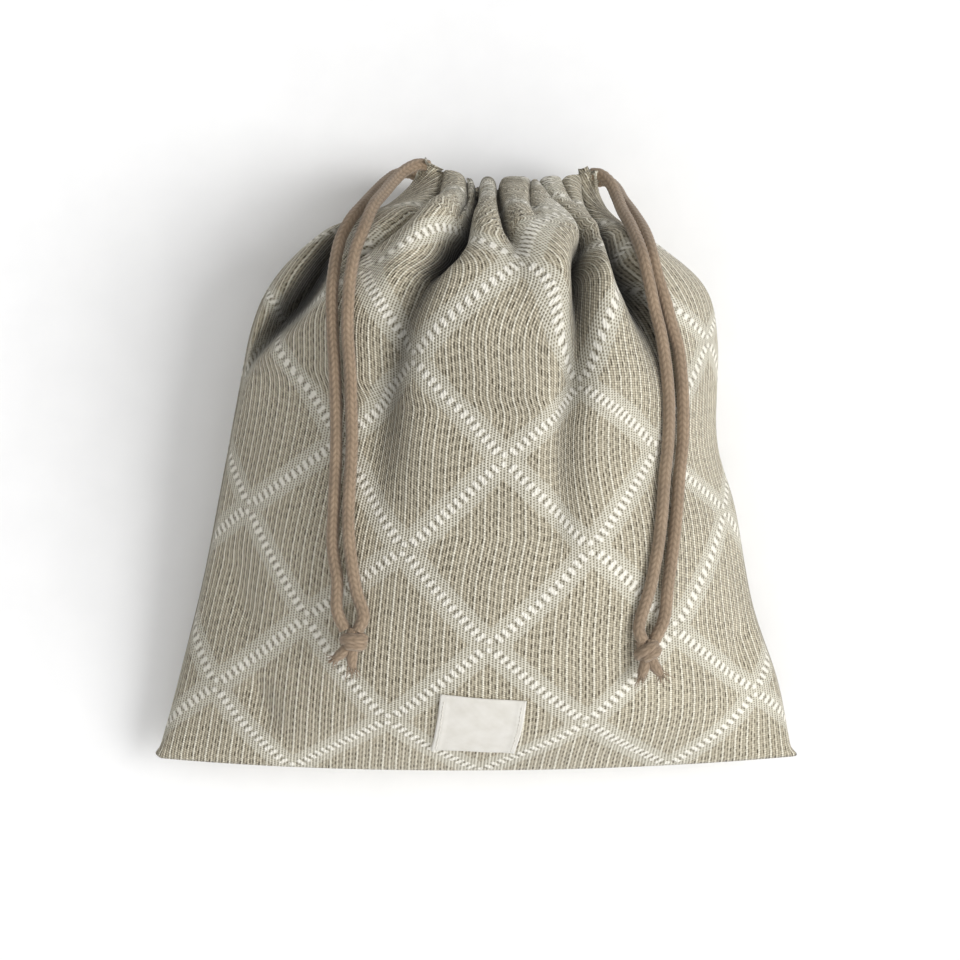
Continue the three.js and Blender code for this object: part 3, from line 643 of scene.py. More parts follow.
def coverCordEnds(grid):
    # the casing runs out to the ends of the two upper cords and closes over them
    nearRim = easeIn((along - bagDesign["clothLength"]) / bagDesign["hemDeep"] + 1)[:, None]
    radius = cordDesign["diameter"] / 2 + bagDesign["casingRound"]
    for cordName, line in cordLines.items():
        if not cordName.endswith("front"):
            continue
        end = line[0]
        rim = grid[-1, int(np.argmin(np.linalg.norm(grid[-1, :, :2] - end[:2], axis=-1)))]
        near = easeIn(1 - (np.abs(grid[:, :, 0] - end[0]) - radius) / bagDesign["casingReach"])
        grid[:, :, 1] += near * nearRim * max(0.0, end[1] + 0.6 - rim[1])
        away = np.linalg.norm(grid[:, :, :2] - end[:2], axis=-1)
        dome = end[2] + np.sqrt(np.maximum(0.3, radius**2 - np.minimum(away, radius) ** 2))
        share = easeIn(1 - (away - radius) / (0.6 * bagDesign["casingReach"])) * nearRim**0.5
        grid[:, :, 2] = np.maximum(grid[:, :, 2], grid[:, :, 2] + share * (dome - grid[:, :, 2]))
    return grid


def roundCorners(grid):
    # the bottom corners, turned out, end in an arc
    rounded = grid.copy()
    edge = fractions * bagDesign["clothWidth"]
    for radius, fromSeam in zip(bagDesign["cornerRound"], (edge, edge[-1] - edge)):
        i, j = np.searchsorted(along, radius), int(np.argmin(np.abs(fromSeam - radius)))
        across = np.clip(1 - fromSeam / radius, 0, 1)[None, :]
        up = np.clip(1 - along / radius, 0, 1)[:, None]
        share = np.maximum(across, up) / np.maximum(1e-9, np.hypot(across, up))
        share = np.where(np.minimum(across, up) > 0, share, 1.0)[:, :, None]
        rounded = grid[i, j] + (rounded - grid[i, j]) * share
    return rounded


def slackNoise(grid, side):
    seed = 0.0 if side == "front" else 40.0
    heights = np.zeros(grid.shape[:2])
    rows, columns = heights.shape
    for i in range(rows):
        for j in range(columns):
            u = j / (columns - 1) * bagDesign["clothWidth"]
            broad, fine = (
                noise.noise(Vector((u / across, along[i] / up, seed + more)))
                for (across, up), more in ((bagDesign["slackSize"], 0), (bagDesign["fineSlackSize"], 9))
            )
            heights[i, j] = broad + bagDesign["fineSlack"] * fine
    return heights * bagDesign["slackHeight"]


rimSteps = [2.0, 1.3, 0.75, 0.3, 0]  # the last rows, closer together to round the hem
along = np.concatenate([
    np.linspace(0, bagDesign["clothLength"] - 3, bagDesign["rows"] + 1 - len(rimSteps)),
    bagDesign["clothLength"] - np.array(rimSteps),
])
fractions = np.linspace(0, 1, bagDesign["columns"] + 1)
fromSeams = np.minimum(fractions, 1 - fractions) * bagDesign["clothWidth"]


def layPanel(side):
    # the outside of one panel: folds first, then slack, small creases, the seams' grooves and the rim
    grid, places, paintedShades = panelGrid(side, along, fractions)
    normals = outwardNormals(grid, side)
    calm = easeIn(fromSeams / bagDesign["calmSeam"])[None, :] * easeIn(along / bagDesign["calmFold"])[:, None]
    grid += normals * (slackNoise(grid, side) * calm)[:, :, None]
    for crease in softCreases if side == "front" else []:
        away, share = awayFromLine(grid[:, :, :2], [crease[0:2], crease[2:4], crease[4:6]])
        ends = easeIn(share / 0.25) * easeIn((1 - share) / 0.25)
        depth = crease[6] * np.exp(-((away / crease[7]) ** 2)) * (0.25 + 0.75 * ends)
        grid -= normals * (depth * calm)[:, :, None]
    middle = grid.mean(axis=1, keepdims=True)
    groove = bagDesign["seamGroove"] * np.exp(-((fromSeams / bagDesign["seamGrooveWide"][side]) ** 2))
    started = easeIn(along / bagDesign["grooveStart"])
    grid += unit(middle - grid) * groove[None, :, None] * started[:, None, None]
    rimRound = bagDesign["hemThick"] / 2
    fromRim = np.minimum(bagDesign["clothLength"] - along, rimRound)
    turnedIn = rimRound - np.sqrt(rimRound**2 - (rimRound - fromRim) ** 2)
    grid -= normals * turnedIn[:, None, None]
    grid = roundCorners(grid)
    if side == "front":
        grid = coverCordEnds(grid)
    grid[:, :, 2] = np.maximum(bagDesign["offFloor"], grid[:, :, 2])
    if side == "front":
        grid = pressUnderCords(grid, bagDesign["cordClear"])
    return grid, places, paintedShades


panels = {side: layPanel(side) for side in ("front", "back")}
outerGrids = {side: panel[0] for side, panel in panels.items()}
for edge in (np.s_[:, 0], np.s_[:, -1], np.s_[0]):
    joined = (outerGrids["front"][edge] + outerGrids["back"][edge]) / 2
    outerGrids["front"][edge] = joined
    outerGrids["back"][edge] = joined
print("cloth surface laid out")


def innerGrid(side, skip):
    # the inside of the cloth, on every second line, kept between the two panels
    other = "back" if side == "front" else "front"
    normals = outwardNormals(outerGrids[side], side)[::skip, ::skip]
    outer = outerGrids[side][::skip, ::skip]
    middle = (outer + outerGrids[other][::skip, ::skip]) / 2
    room = np.linalg.norm(middle - outer, axis=-1)
    hemStart = bagDesign["clothLength"] - bagDesign["hemDeep"]
    hem = easeIn((along[::skip] - hemStart) / bagDesign["hemStep"])[:, None]
    wanted = bagDesign["clothThick"] + (bagDesign["hemThick"] - bagDesign["clothThick"]) * hem
    thick = np.minimum(wanted, bagDesign["mostThick"] * room)
    return outer - normals * thick[:, :, None]


def sewBag():
    # the outside on every line of the grid, the inside on every second one, and the rim between them
    inner = {side: innerGrid(side, 2) for side in outerGrids}
    for edgeColumn in (0, -1):
        middle = (inner["front"][:, edgeColumn] + inner["back"][:, edgeColumn]) / 2
        inwardly = unit(inner["front"].mean(axis=1) - middle)
        for side in inner:
            inner[side][:, edgeColumn] = middle + inwardly * bagDesign["seamAllowance"]
    lifted = (inner["front"][0] + inner["back"][0]) / 2 + np.array([0, bagDesign["foldAllowance"], 0])
    for side in inner:
        inner[side][0] = lifted
    layers = {"outer": (outerGrids, 1), "inner": (inner, 2)}
    points, places, paintedShades, numbers = [], [], [], {}

    def number(layer, side, row, column):
        grids, skip = layers[layer]
        shared = "both" if column in (0, bagDesign["columns"] // skip) or row == 0 else side
        key = (layer, shared, row, column)
        if key not in numbers:
            numbers[key] = len(points)
            points.append(grids[side][row, column])
            across, up = panels[side][1][row * skip, column * skip]
            places.append((across, up if side == "front" else -up))
            paintedShades.append(panels[side][2][row * skip, column * skip])
        return numbers[key]

    faces = []
    for side in ("front", "back"):
        for layer, (grids, skip) in layers.items():
            turned = (side == "front") != (layer == "outer")
            for row in range(bagDesign["rows"] // skip):
                for column in range(bagDesign["columns"] // skip):
                    corners = [(row, column), (row, column + 1), (row + 1, column + 1), (row + 1, column)]
                    face = [number(layer, side, *corner) for corner in corners]
                    faces.append(face[::-1] if turned else face)
        rim = bagDesign["rows"]
        for column in range(bagDesign["columns"] // 2):
            a, b, c = (number("outer", side, rim, 2 * column + k) for k in range(3))
            d, e = (number("inner", side, rim // 2, column + k) for k in range(2))
            for face in ([a, b, d], [b, e, d], [b, c, e]):
                faces.append(face if side == "front" else face[::-1])
    return points, faces, places, paintedShades


bagPoints, bagFaces, bagPlaces, bagPaintedShade = sewBag()
print("bag", len(bagPoints), "points", len(bagFaces), "faces")

# Heavy yarn-dyed cotton dobby, woven in ribs with floating white rungs in a lattice: matt and soft,
# with a beaded look along the ribs and dark gaps between them, painted as shade
weaveDesign = {
    "ribPitch": 1.375,      # one yarn column
    "dashPitch": 4.1,
    "dashStagger": 0.7,
    "beadPitch": 1.05,
    "beadTwist": 0.45,      # of a bead, across one rib
    "dotPitch": 1.15,       # of the plain weave beside the bands
    "lattice": 39.4,        # half the diagonal of a lattice diamond
    "latticeStart": 2.6,
    "rungsPerCell": 16,
    "spotAway": 2.1,        # the two rungs of a crossing, from its middle
    "haloShare": 0.75,
    "wander": 0.4,          # how far the threads drift
    "fray": 1.5,            # and how ragged the bands' own threads lie
    "shadeDepth": 13.0,     # how deep in a fold the cloth has lost most of its light
    "shadePower": 1.4,
}
# soft edges, each from where a thing ends to where it is whole: in shares of a pitch, then in millimetres
softEdges = {
    "dashLong": (0.36, 0.18),
    "dashWide": (0.34, 0.12),
    "rungWide": (0.32, 0.18),
    "slitWide": (0.34, 0.46),
    "rungLong": (2.5, 1.8),
    "slitLong": (1.7, 0.9),
    "halo": (6.3, 5.2),
    "crossing": (3.4, 2.7),
    "spot": (1.5, 0.9),
}
weaveColours = {
    "gap": "#8F8671", "seat": "#A59C87", "cream": "#E4DECC", "warm": "#D5CDB9", "plain": "#BBB29D",
    "grey": "#B4AC98", "dash": "#5A513F", "halo": "#DCD8C9", "haloDot": "#7D7662", "rung": "#EFEBDF",
}
# the ribs' colours, repeated every four: a dark gap or a seat between two twelfths of each yarn; the gaps and
# seats are painted shade where the yarns part
ribColours = [
    "gap", "cream", "cream", "seat", "plain", "plain", "gap", "warm", "warm", "seat", "grey", "grey", "gap",
]
ribStops = [0.0, 0.08, 0.17, 0.25, 0.33, 0.42, 0.5, 0.58, 0.67, 0.75, 0.83, 0.92, 1.0]
dashStrengths = [(0, 1.0), (0.25, 0.65), (0.5, 1.0), (0.75, 0.75)]  # of every fourth line of dashes


def softEdge(tree, value, name):
    return rescale(tree, value, *softEdges[name], interpolation_type="SMOOTHSTEP")


def mixColours(tree, share, first, second):
    first, second = (linearColour(weaveColours[c]) if isinstance(c, str) else c for c in (first, second))
    return addNode(tree, "Mix", {0: share, 6: first, 7: second}, data_type="RGBA").outputs[2]


def driftedPlace(tree, place, size, reach, start):
    # the place, moved by a noise of this size
    drift = addNode(tree, "TexNoise", {"Vector": place, "Scale": size, "Detail": 2.0})
    colour = drift.outputs["Color"]
    centred = addNode(tree, "VectorMath", {0: colour, 1: (0.5, 0.5, 0.5)}, operation="SUBTRACT")
    moved = addNode(tree, "VectorMath", {0: centred, "Scale": reach}, operation="SCALE")
    return addNode(tree, "VectorMath", {0: start, 1: moved}, operation="ADD")


def dashNodes(tree, v, line, offLine):
    # dashes of shadow where the ribs part
    inFour = calc(tree, "FLOORED_MODULO", line, 4.0)
    quarter = calc(tree, "MULTIPLY_ADD", inFour, 0.25, 0.1)
    strength = colourRamp(tree, quarter, dashStrengths, "CONSTANT")
    lineNoise = addNode(tree, "TexWhiteNoise", {"W": line}, noise_dimensions="1D")
    stagger = calc(tree, "MULTIPLY", lineNoise, weaveDesign["dashStagger"])
    halfStep = calc(tree, "MULTIPLY_ADD", line, 0.5, stagger)
    steps = calc(tree, "MULTIPLY_ADD", v, 1 / weaveDesign["dashPitch"], halfStep)
    cellPlace = addNode(tree, "CombineXYZ", {0: line, 1: calc(tree, "FLOOR", steps)})
    cellNoise = addNode(tree, "TexWhiteNoise", {"Vector": cellPlace}, noise_dimensions="2D")
    middle = rescale(tree, cellNoise.outputs["Color"], 0.0, 1.0, 0.35, 0.65)
    fromMiddle = calc(tree, "SUBTRACT", calc(tree, "FRACT", steps), middle)
    long = softEdge(tree, calc(tree, "ABSOLUTE", fromMiddle), "dashLong")
    shape = calc(tree, "MULTIPLY", long, softEdge(tree, offLine, "dashWide"))
    uneven = rescale(tree, cellNoise, 0.0, 1.0, 0.25, 1.1)
    return calc(tree, "MULTIPLY", calc(tree, "MULTIPLY", shape, strength), uneven)


def ribNodes(tree, v, ribs):
    # the ribs' own colours, with beads where the weft crosses
    inRepeat = calc(tree, "FRACT", calc(tree, "MULTIPLY", ribs, 0.25))
    stops = [(stop, weaveColours[name]) for stop, name in zip(ribStops, ribColours)]
    ribColour = colourRamp(tree, inRepeat, stops)
    twist = calc(tree, "MULTIPLY", calc(tree, "FRACT", ribs), weaveDesign["beadTwist"])
    beadStep = calc(tree, "MULTIPLY_ADD", calc(tree, "FLOOR", ribs), 0.5, twist)
    beads = calc(tree, "MULTIPLY_ADD", v, 1 / weaveDesign["beadPitch"], beadStep)
    return ribColour, calc(tree, "SINE", calc(tree, "MULTIPLY", beads, 2 * math.pi))


def bandNodes(tree, own, other):
    # one family of bands: how far away the nearest is, its rungs, the slits between them, where shadow is
    # painted, and its halo
    lattice = weaveDesign["lattice"]
    cells = calc(tree, "DIVIDE", own, 2 * lattice)
    signed = calc(tree, "SUBTRACT", cells, calc(tree, "ROUND", cells))
    away = calc(tree, "MULTIPLY", calc(tree, "ABSOLUTE", signed), lattice * math.sqrt(2))
    counts = calc(tree, "MULTIPLY", other, weaveDesign["rungsPerCell"] / (2 * lattice))
    offCentre = calc(tree, "ABSOLUTE", calc(tree, "SUBTRACT", calc(tree, "FRACT", counts), 0.5))
    found = {"signed": signed, "away": away, "halo": softEdge(tree, away, "halo")}
    for key in ("rung", "slit"):
        wide, long = softEdge(tree, offCentre, key + "Wide"), softEdge(tree, away, key + "Long")
        found[key] = calc(tree, "MULTIPLY", wide, long)
    return found


def latticeNodes(tree, bandU, bandV):
    # the two families of bands, which leave two short rungs where they cross
    p = calc(tree, "SUBTRACT", bandU, weaveDesign["latticeStart"])
    sumPlace, differencePlace = calc(tree, "ADD", p, bandV), calc(tree, "SUBTRACT", p, bandV)
    falling = bandNodes(tree, sumPlace, differencePlace)
    rising = bandNodes(tree, differencePlace, sumPlace)
    furthest = calc(tree, "MAXIMUM", falling["away"], rising["away"])
    noCrossing = calc(tree, "SUBTRACT", 1.0, softEdge(tree, furthest, "crossing"))
    across, up = (
        calc(tree, "MULTIPLY", calc(tree, sign, falling["signed"], rising["signed"]), weaveDesign["lattice"])
        for sign in ("ADD", "SUBTRACT")
    )
    fromSpot = calc(tree, "SUBTRACT", calc(tree, "ABSOLUTE", up), weaveDesign["spotAway"])
    spotPlace = addNode(tree, "CombineXYZ", {0: across, 1: fromSpot})
    spotAway = addNode(tree, "VectorMath", {0: spotPlace}, operation="LENGTH")
    spot = softEdge(tree, spotAway.outputs["Value"], "spot")
    bothRungs, bothSlits, halo = (
        calc(tree, "MAXIMUM", falling[key], rising[key]) for key in ("rung", "slit", "halo")
    )
    rung = calc(tree, "MINIMUM", calc(tree, "MULTIPLY_ADD", bothRungs, noCrossing, spot), 1.0)
    return rung, calc(tree, "MULTIPLY", bothSlits, noCrossing), halo


def haloNodes(tree, v, ribs, line):
    # plain weave beside the bands: fine dots
    dotAcross = calc(tree, "COSINE", calc(tree, "MULTIPLY", ribs, 2 * math.pi))
    staggered = calc(tree, "MULTIPLY", line, math.pi)
    dotRow = calc(tree, "MULTIPLY_ADD", v, 2 * math.pi / weaveDesign["dotPitch"], staggered)
    dots = calc(tree, "ADD", dotAcross, calc(tree, "COSINE", dotRow))
    return mixColours(tree, rescale(tree, dots, 0.1, 1.3), "halo", "haloDot")


def wovenCotton():
    material, tree = newMaterial(
        "woven_cotton_dobby", Roughness=0.93, Sheen_Weight=0.2, Sheen_Roughness=0.5, Specular_IOR_Level=0.2
    )
    place = addNode(tree, "UVMap", uv_map="clothPlace")
    wandered = driftedPlace(tree, place, 0.06, weaveDesign["wander"], place)
    ragged = driftedPlace(tree, place, 0.75, weaveDesign["fray"], wandered)
    u, v = addNode(tree, "SeparateXYZ", {0: wandered}).outputs[:2]
    bandU, bandV = addNode(tree, "SeparateXYZ", {0: ragged}).outputs[:2]
    ribs = calc(tree, "DIVIDE", u, weaveDesign["ribPitch"])
    line = calc(tree, "ROUND", ribs)
    offLine = calc(tree, "ABSOLUTE", calc(tree, "SUBTRACT", ribs, line))
    dash = dashNodes(tree, v, line, offLine)
    ribColour, bead = ribNodes(tree, v, ribs)
    rung, slit, halo = latticeNodes(tree, bandU, bandV)

    speck = addNode(tree, "TexNoise", {"Vector": place, "Scale": 1.5, "Detail": 2.0, "Roughness": 0.75})
    broad = addNode(tree, "TexNoise", {"Vector": place, "Scale": 0.03, "Detail": 2.0})
    beadTone = rescale(tree, bead, -1.0, 1.0, 0.74, 1.18)
    speckTone = rescale(tree, speck, 0.3, 0.7, 0.66, 1.36)
    tone = calc(tree, "MULTIPLY", beadTone, speckTone)
    beaded = addNode(tree, "HueSaturation", {"Color": ribColour, "Value": tone})
    haloShare = calc(tree, "MULTIPLY", halo, weaveDesign["haloShare"])
    withHalo = mixColours(tree, haloShare, beaded, haloNodes(tree, v, ribs, line))
    dashHere = calc(tree, "MULTIPLY", dash, calc(tree, "MULTIPLY_ADD", haloShare, -0.9, 1.0))
    # painted shadow: the dashes, and the slits between the rungs, are laid in the dark colour
    dashShown = calc(tree, "MINIMUM", calc(tree, "MULTIPLY_ADD", slit, 0.55, dashHere), 1.0)
    withDash = mixColours(tree, dashShown, withHalo, "dash")
    withRung = mixColours(tree, rung, withDash, "rung")
    lightness = rescale(tree, broad, 0.3, 0.7, 0.94, 1.05)
    toned = addNode(tree, "HueSaturation", {"Color": withRung, "Value": lightness})
    # painted shade: the colour is darkened by the depth of the folds, as little light reaches them
    deep = addNode(tree, "Attribute", attribute_name="foldDepth")
    scaled = calc(tree, "MULTIPLY", deep.outputs["Fac"], 1 / weaveDesign["shadeDepth"])
    lost = calc(tree, "MULTIPLY", -1.0, calc(tree, "POWER", scaled, weaveDesign["shadePower"]))
    shaded = addNode(tree, "HueSaturation", {"Color": toned, "Value": calc(tree, "EXPONENT", lost)})

    # the same threads as relief
    ribHeight = calc(tree, "MULTIPLY", calc(tree, "MULTIPLY", offLine, offLine), 2.6)
    beadHeight = calc(tree, "MULTIPLY_ADD", bead, 0.12, ribHeight)
    dashHeight = calc(tree, "MULTIPLY_ADD", dashShown, -0.7, beadHeight)
    rungHeight = calc(tree, "MULTIPLY_ADD", rung, 0.9, dashHeight)
    finishSurface(tree, shaded, rungHeight, 0.8, 0.0004)
    return material


bag = makePiece(
    "woven_bag", bagPoints, bagFaces, bagPlaces, wovenCotton(), "woven_cotton", foldDepth=bagPaintedShade
)
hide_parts("bag_body")
print("cloth woven")


# The sewn label: a strip of woven tape, its two ends turned under and stitched down, left plain
labelDesign = {
    "middle": (-0.2, 37.0),  # from the middle of the panel, and up from the bottom fold
    "size": (34.0, 35.0),
    "turn": -4.0,
    "lift": 0.45,
    "thick": 0.55,
    "turnedEnd": 3.4,
    "edges": {  # height and reach of what its edges do
        "doubled": (0.3, 0.7), "dip": (-0.28, 0.6), "lifted": (0.175, 3.0), "rounding": (-0.2, 0.3),
    },
    "seamIn": 1.7,           # of each line of stitches, from the turned-in end
    "stitchPitch": 2.2,
    "stitchLong": 1.5,
    "stitchThick": 0.42,
    "cells": (44, 46),
}


def clothPointAt(u, v):
    # a place on the finished upper panel, by even shares of the width and the height
    grid = outerGrids["front"]
    columns = bagDesign["columns"]
    column = np.clip((u / bagDesign["clothWidth"] + 0.5) * columns, 0, columns - 1e-6)
    row = np.clip(np.interp(v, along, np.arange(len(along))), 0, bagDesign["rows"] - 1e-6)
    i, j = int(row), int(column)
    s, t = row - i, column - j
    return (
        grid[i, j] * (1 - s) * (1 - t) + grid[i + 1, j] * s * (1 - t)
        + grid[i, j + 1] * (1 - s) * t + grid[i + 1, j + 1] * s * t
    )


def labelPoint(x, y, lift):
    angle = math.radians(labelDesign["turn"])
    u = labelDesign["middle"][0] + x * math.cos(angle) - y * math.sin(angle)
    v = labelDesign["middle"][1] + x * math.sin(angle) + y * math.cos(angle)
    point = clothPointAt(u, v)
    across = clothPointAt(u + 1.5, v) - clothPointAt(u - 1.5, v)
    up = clothPointAt(u, v + 1.5) - clothPointAt(u, v - 1.5)
    return point + unit(np.cross(across, up)) * lift


def sewLabel():
    columns, rows = labelDesign["cells"]
    width, height = labelDesign["size"]
    edges = labelDesign["edges"]

    def bump(name, away):
        tall, reach = edges[name]
        return tall * math.exp(-((away / reach) ** 2))

    points, places = [], []
    for layer in (0, 1):
        for row in range(rows + 1):
            y = (row / rows - 0.5) * height
            for column in range(columns + 1):
                x = (column / columns - 0.5) * width
                sideEdge = width / 2 - abs(x)
                freeEdge = height / 2 - abs(y)
                tall, reach = edges["doubled"]
                doubled = tall * easeIn((labelDesign["turnedEnd"] - sideEdge) / reach)
                dip = bump("dip", sideEdge - labelDesign["seamIn"])
                lifted = bump("lifted", freeEdge) * (0.6 + 0.4 * math.sin(x * 0.31 + row))
                top = labelDesign["thick"] + doubled + dip + bump("rounding", min(sideEdge, freeEdge))
                points.append(labelPoint(x, y, labelDesign["lift"] + lifted + (float(top) if layer else 0.0)))
                places.append((x, y))
    across, up = columns + 1, rows + 1
    faces = []
    for layer in (0, 1):
        for row in range(rows):
            for column in range(columns):
                a = layer * across * up + row * across + column
                face = [a, a + 1, a + across + 1, a + across]
                faces.append(face if layer else face[::-1])
    rim = [(0, c) for c in range(columns)] + [(r, columns) for r in range(rows)]
    rim += [(rows, c) for c in range(columns, 0, -1)] + [(r, 0) for r in range(rows, 0, -1)]
    for (r, c), (r2, c2) in zip(rim, rim[1:] + rim[:1]):
        a, b = r * across + c, r2 * across + c2
        faces.append([a, b, b + across * up, a + across * up])
    return points, faces, places


# Woven polyester label tape: smooth and faintly satiny, with a fine crosswise grain
labelColours = {"thread": "#E4E1DA", "shade": "#D6D2C8", "stitch": "#E6E3DA"}


def labelTape():
    material, tree = newMaterial(
        "woven_label_tape", Roughness=0.62, Sheen_Weight=0.15, Specular_IOR_Level=0.35
    )
    place = addNode(tree, "UVMap", uv_map="clothPlace")
    grains = [
        addNode(tree, "TexWave", {"Vector": place, "Scale": scale, "Distortion": bent, "Detail": 1.0},
                bands_direction=direction).outputs["Fac"]
        for scale, bent, direction in ((0.55, 0.6, "Y"), (0.7, 0.4, "X"))
    ]
    both = calc(tree, "MULTIPLY", *grains)
    cloudy = addNode(tree, "TexNoise", {"Vector": place, "Scale": 0.14, "Detail": 2.0})
    share = calc(tree, "MULTIPLY_ADD", both, 0.35, cloudy)
    colour = colourRamp(tree, share, [(0.3, labelColours["shade"]), (0.75, labelColours["thread"])])
    finishSurface(tree, colour, both, 0.35, 0.0002)
    return material


labelPoints, labelFaces, labelPlaces = sewLabel()
label = makePiece("sewn_label", labelPoints, labelFaces, labelPlaces, labelTape(), "label_tape")
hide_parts("label")


def joinTubes(tubes, around):
    # tubes: centre lines with a radius for each point, closed at both ends
    points, faces, places = [], [], []
    for line, radii in tubes:
        line = np.asarray(line, float)
        ahead, side, up = tubeFrames(line, [0.3, 0.2, 1.0])
        start = len(points)
        for i, radius in enumerate(np.broadcast_to(radii, len(line))):
            for j in range(around):
                turn = 2 * math.pi * j / around
                points.append(line[i] + radius * (math.cos(turn) * side[i] + math.sin(turn) * up[i]))
                places.append((j / around, float(i)))
        faces += tubeFaces(len(line), around, start)
    return points, faces, places


def stitchLines():
    # short thick stitches in a row across each turned-in end
    tubes = []
    width, height = labelDesign["size"]
    along = np.linspace(0, 1, 7)
    radii = labelDesign["stitchThick"] / 2 * np.sqrt(np.sin(np.pi * np.linspace(0.08, 0.92, len(along))))
    for sign in (-1, 1):
        x = sign * (width / 2 - labelDesign["seamIn"])
        for k in range(int((height - 3) / labelDesign["stitchPitch"])):
            y = -height / 2 + 1.8 + k * labelDesign["stitchPitch"]
            line = []
            for t in along:
                lift = labelDesign["lift"] + labelDesign["thick"] + 0.1 + 0.22 * math.sin(math.pi * t)
                line.append(labelPoint(x + 0.12 * math.sin(k * 2.1), y + labelDesign["stitchLong"] * t, lift))
            tubes.append((line, radii))
    return tubes


# Twisted sewing thread of polyester, faintly shiny
def sewingThread():
    material, tree = newMaterial("sewing_thread", Roughness=0.55, Specular_IOR_Level=0.4)
    place = addNode(tree, "UVMap", uv_map="clothPlace")
    settings = {"Vector": place, "Scale": 1.2, "Distortion": 0.5}
    twist = addNode(tree, "TexWave", settings, bands_direction="DIAGONAL")
    stops = [(0.0, labelColours["shade"]), (1.0, labelColours["stitch"])]
    finishSurface(tree, colourRamp(tree, twist.outputs["Fac"], stops))
    return material


makePiece("label_stitches", *joinTubes(stitchLines(), 8), sewingThread(), "label_tape")
print("label sewn on")


# Knots: the two cords pass through one turn that lies round them, and their cut ends fray below
knotShape = {
    "turnRadius": 3.3, "turnTilt": 18, "turns": 1.25, "cordRadius": 2.55,
    "tail": 7.5, "fibres": 46, "fibreLong": 4.6, "fibreThick": 0.26,
    "fibreSides": 5, "around": 32, "step": 0.4,
}


def tieKnot(place, seed):
    shape = knotShape
    angle = math.radians(place["turn"])
    centre = np.array(place["centre"], float)

    def turned(point):
        x, y, z = point
        return centre + np.array([
            x * math.cos(angle) - y * math.sin(angle), x * math.sin(angle) + y * math.cos(angle), z,
        ])

    points, faces, places, heights = [], [], [], []

    def addTube(line, taper=None, phase=0.0):
        line = np.array([turned(p) for p in line])
        smooth, _ = smoothRoute(line, shape["step"])
        sizes = None if taper is None else np.interp(np.linspace(0, 1, len(smooth)), [0, 0.2, 0.8, 1], taper)
        design = {**cordDesign, "around": shape["around"]}
        tube, lobe, uv = braidedTube(smooth, shape["cordRadius"], design, phase, sizes)
        faces.extend(tubeFaces(len(smooth), shape["around"], len(points)))
        points.extend(tube)
        heights.extend(lobe)
        places.extend(uv)

    # the turn
    tilt = math.radians(shape["turnTilt"])
    line = []
    for t in np.linspace(-0.15, shape["turns"], 26):
        a = 2 * math.pi * t + 0.6
        x = shape["turnRadius"] * math.cos(a)
        z = shape["turnRadius"] * 0.78 * math.sin(a)
        y = 1.6 - 3.4 * (t - 0.5) / shape["turns"] + x * math.tan(tilt)
        line.append([x, y, z])
    addTube(line, [0.7, 1, 1, 0.7])
    # the two cords inside it
    for sign in (-1, 1):
        addTube([[2.3 * sign, 6.4, 0.6], [1.6 * sign, 3, 0.4], [1.2 * sign, -0.5, 0], [1.9 * sign, -4, -0.6],
                 [(1.9 + 2.2) * sign, -4 - shape["tail"] * 0.6, -1.6]], [0.9, 0.92, 0.9, 0.55], 0.3 * sign)
    # frayed ends
    rng = np.random.default_rng(seed)
    fibres = []
    for sign in (-1, 1):
        for _ in range(shape["fibres"] // 2):
            start = np.array([3.6 * sign, -7.4, -1.4]) + rng.normal(0, 0.7, 3)
            heading = unit(np.array([0.45 * sign, -1.0, -0.12]) + rng.normal(0, 0.34, 3))
            bend = rng.normal(0, 0.28, 3)
            long = shape["fibreLong"] * rng.uniform(0.55, 1.1)
            line = [turned(start + heading * long * t + bend * long * t * t) for t in np.linspace(0, 1, 6)]
            fibres.append((line, shape["fibreThick"] * np.linspace(1, 0.35, 6)))
    fibrePoints, fibreFaces, fibrePlaces = joinTubes(fibres, shape["fibreSides"])
    faces.extend(tuple(i + len(points) for i in face) for face in fibreFaces)
    points.extend(fibrePoints)
    places.extend((0.5 * a, b) for a, b in fibrePlaces)
    heights.extend([0.75] * len(fibrePoints))
    return points, faces, places, heights


for seed, (knotName, knotPlace) in enumerate(knotDesign["places"].items()):
    points, faces, places, heights = tieKnot(knotPlace, seed + 4)
    name = knotName.replace("knot_", "tied_knot_")
    knot = makePiece(name, points, faces, places, cordMaterial, "braided_cord", lobeHeight=heights)
    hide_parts(knotName)
print("knots tied")

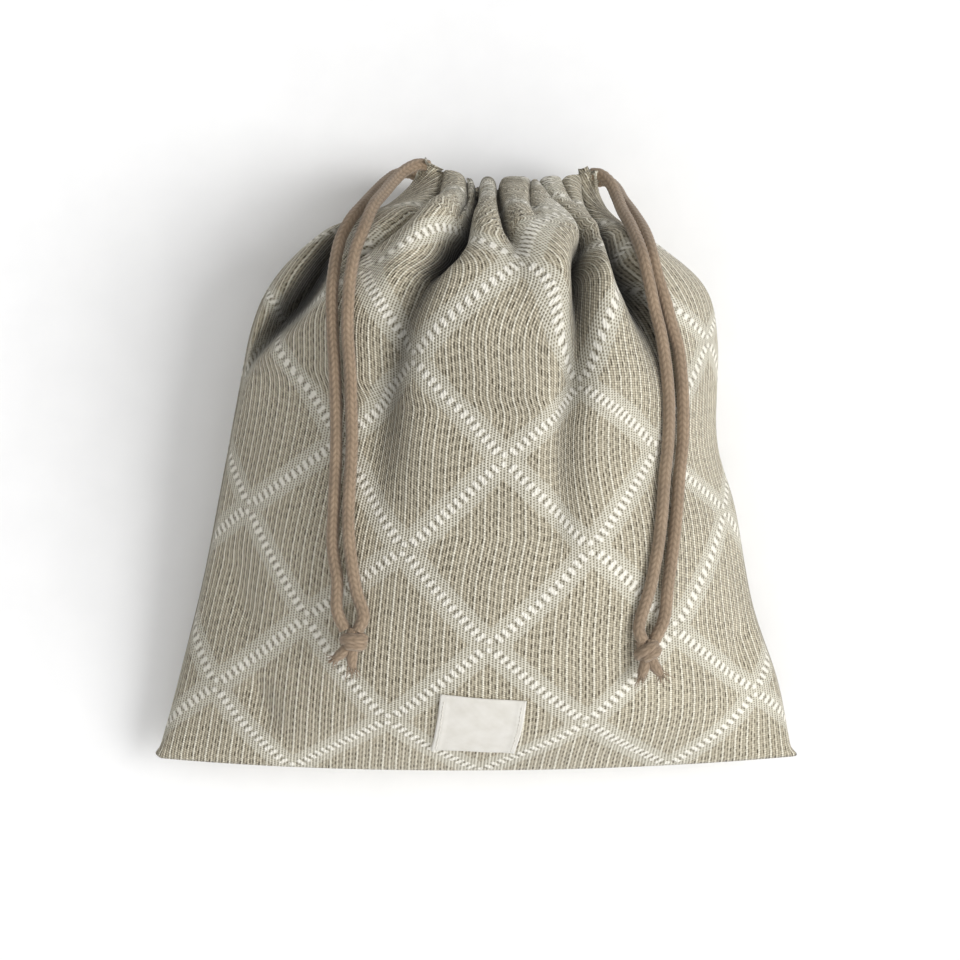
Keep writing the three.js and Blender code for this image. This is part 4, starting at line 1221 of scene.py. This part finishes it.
# Studio: a pale floor, a soft main light from the right, a broad weak one from the front, and an even fill
studio = {
    "floorColours": ("#FAFAFA", "#FDFDFD"),
    "fill": {"horizon": 0.1, "overhead": 0.57},
    "lights": {
        "soft_main": {"power": 2.1, "spread": 0.65, "towards": (1.0, -0.03, 0.88), "shadow": True},
        "front_reflector": {"power": 1.1, "spread": 1.5, "towards": (0.3, -0.9, 0.8), "shadow": False},
    },
}
# Painted studio board: matt, nearly white
floorMaterial, floorTree = newMaterial("painted_board", Roughness=0.95, Specular_IOR_Level=0.1)
floorPlace = addNode(floorTree, "TexCoord").outputs["Object"]
floorGrain = addNode(floorTree, "TexNoise", {"Vector": floorPlace, "Scale": 60.0, "Detail": 3.0})
finishSurface(floorTree, colourRamp(floorTree, floorGrain, list(zip((0.3, 0.7), studio["floorColours"]))))
floorMesh = bpy.data.meshes.new("studio_floor")
floorMesh.from_pydata([(-3, -3, 0), (3, -3, 0), (3, 3, 0), (-3, 3, 0)], [], [(0, 1, 2, 3)])
floorMesh.materials.append(floorMaterial)
floor = bpy.data.objects.new("studio_floor", floorMesh)
floor.location.z = -0.0002
bpy.context.scene.collection.objects.link(floor)

world = bpy.data.worlds.new("studio_fill")
world.use_nodes = True
skyPlace = addNode(world.node_tree, "TexCoord")
skyHeight = addNode(world.node_tree, "SeparateXYZ", {0: skyPlace.outputs["Generated"]})
skyLight = rescale(world.node_tree, skyHeight.outputs[2], 0.0, 1.0, *studio["fill"].values())
world.node_tree.links.new(skyLight.outputs[0], world.node_tree.nodes["Background"].inputs["Color"])
bpy.context.scene.world = world
for lightName, design in studio["lights"].items():
    lightData = bpy.data.lights.new(lightName, "SUN")
    lightData.energy = design["power"]
    lightData.angle = design["spread"]
    lightData.use_shadow = design["shadow"]
    light = bpy.data.objects.new(lightName, lightData)
    light.location = design["towards"]
    light.rotation_euler = (-Vector(design["towards"])).to_track_quat("-Z", "Y").to_euler()
    bpy.context.scene.collection.objects.link(light)
bpy.context.scene.view_settings.view_transform = "Standard"
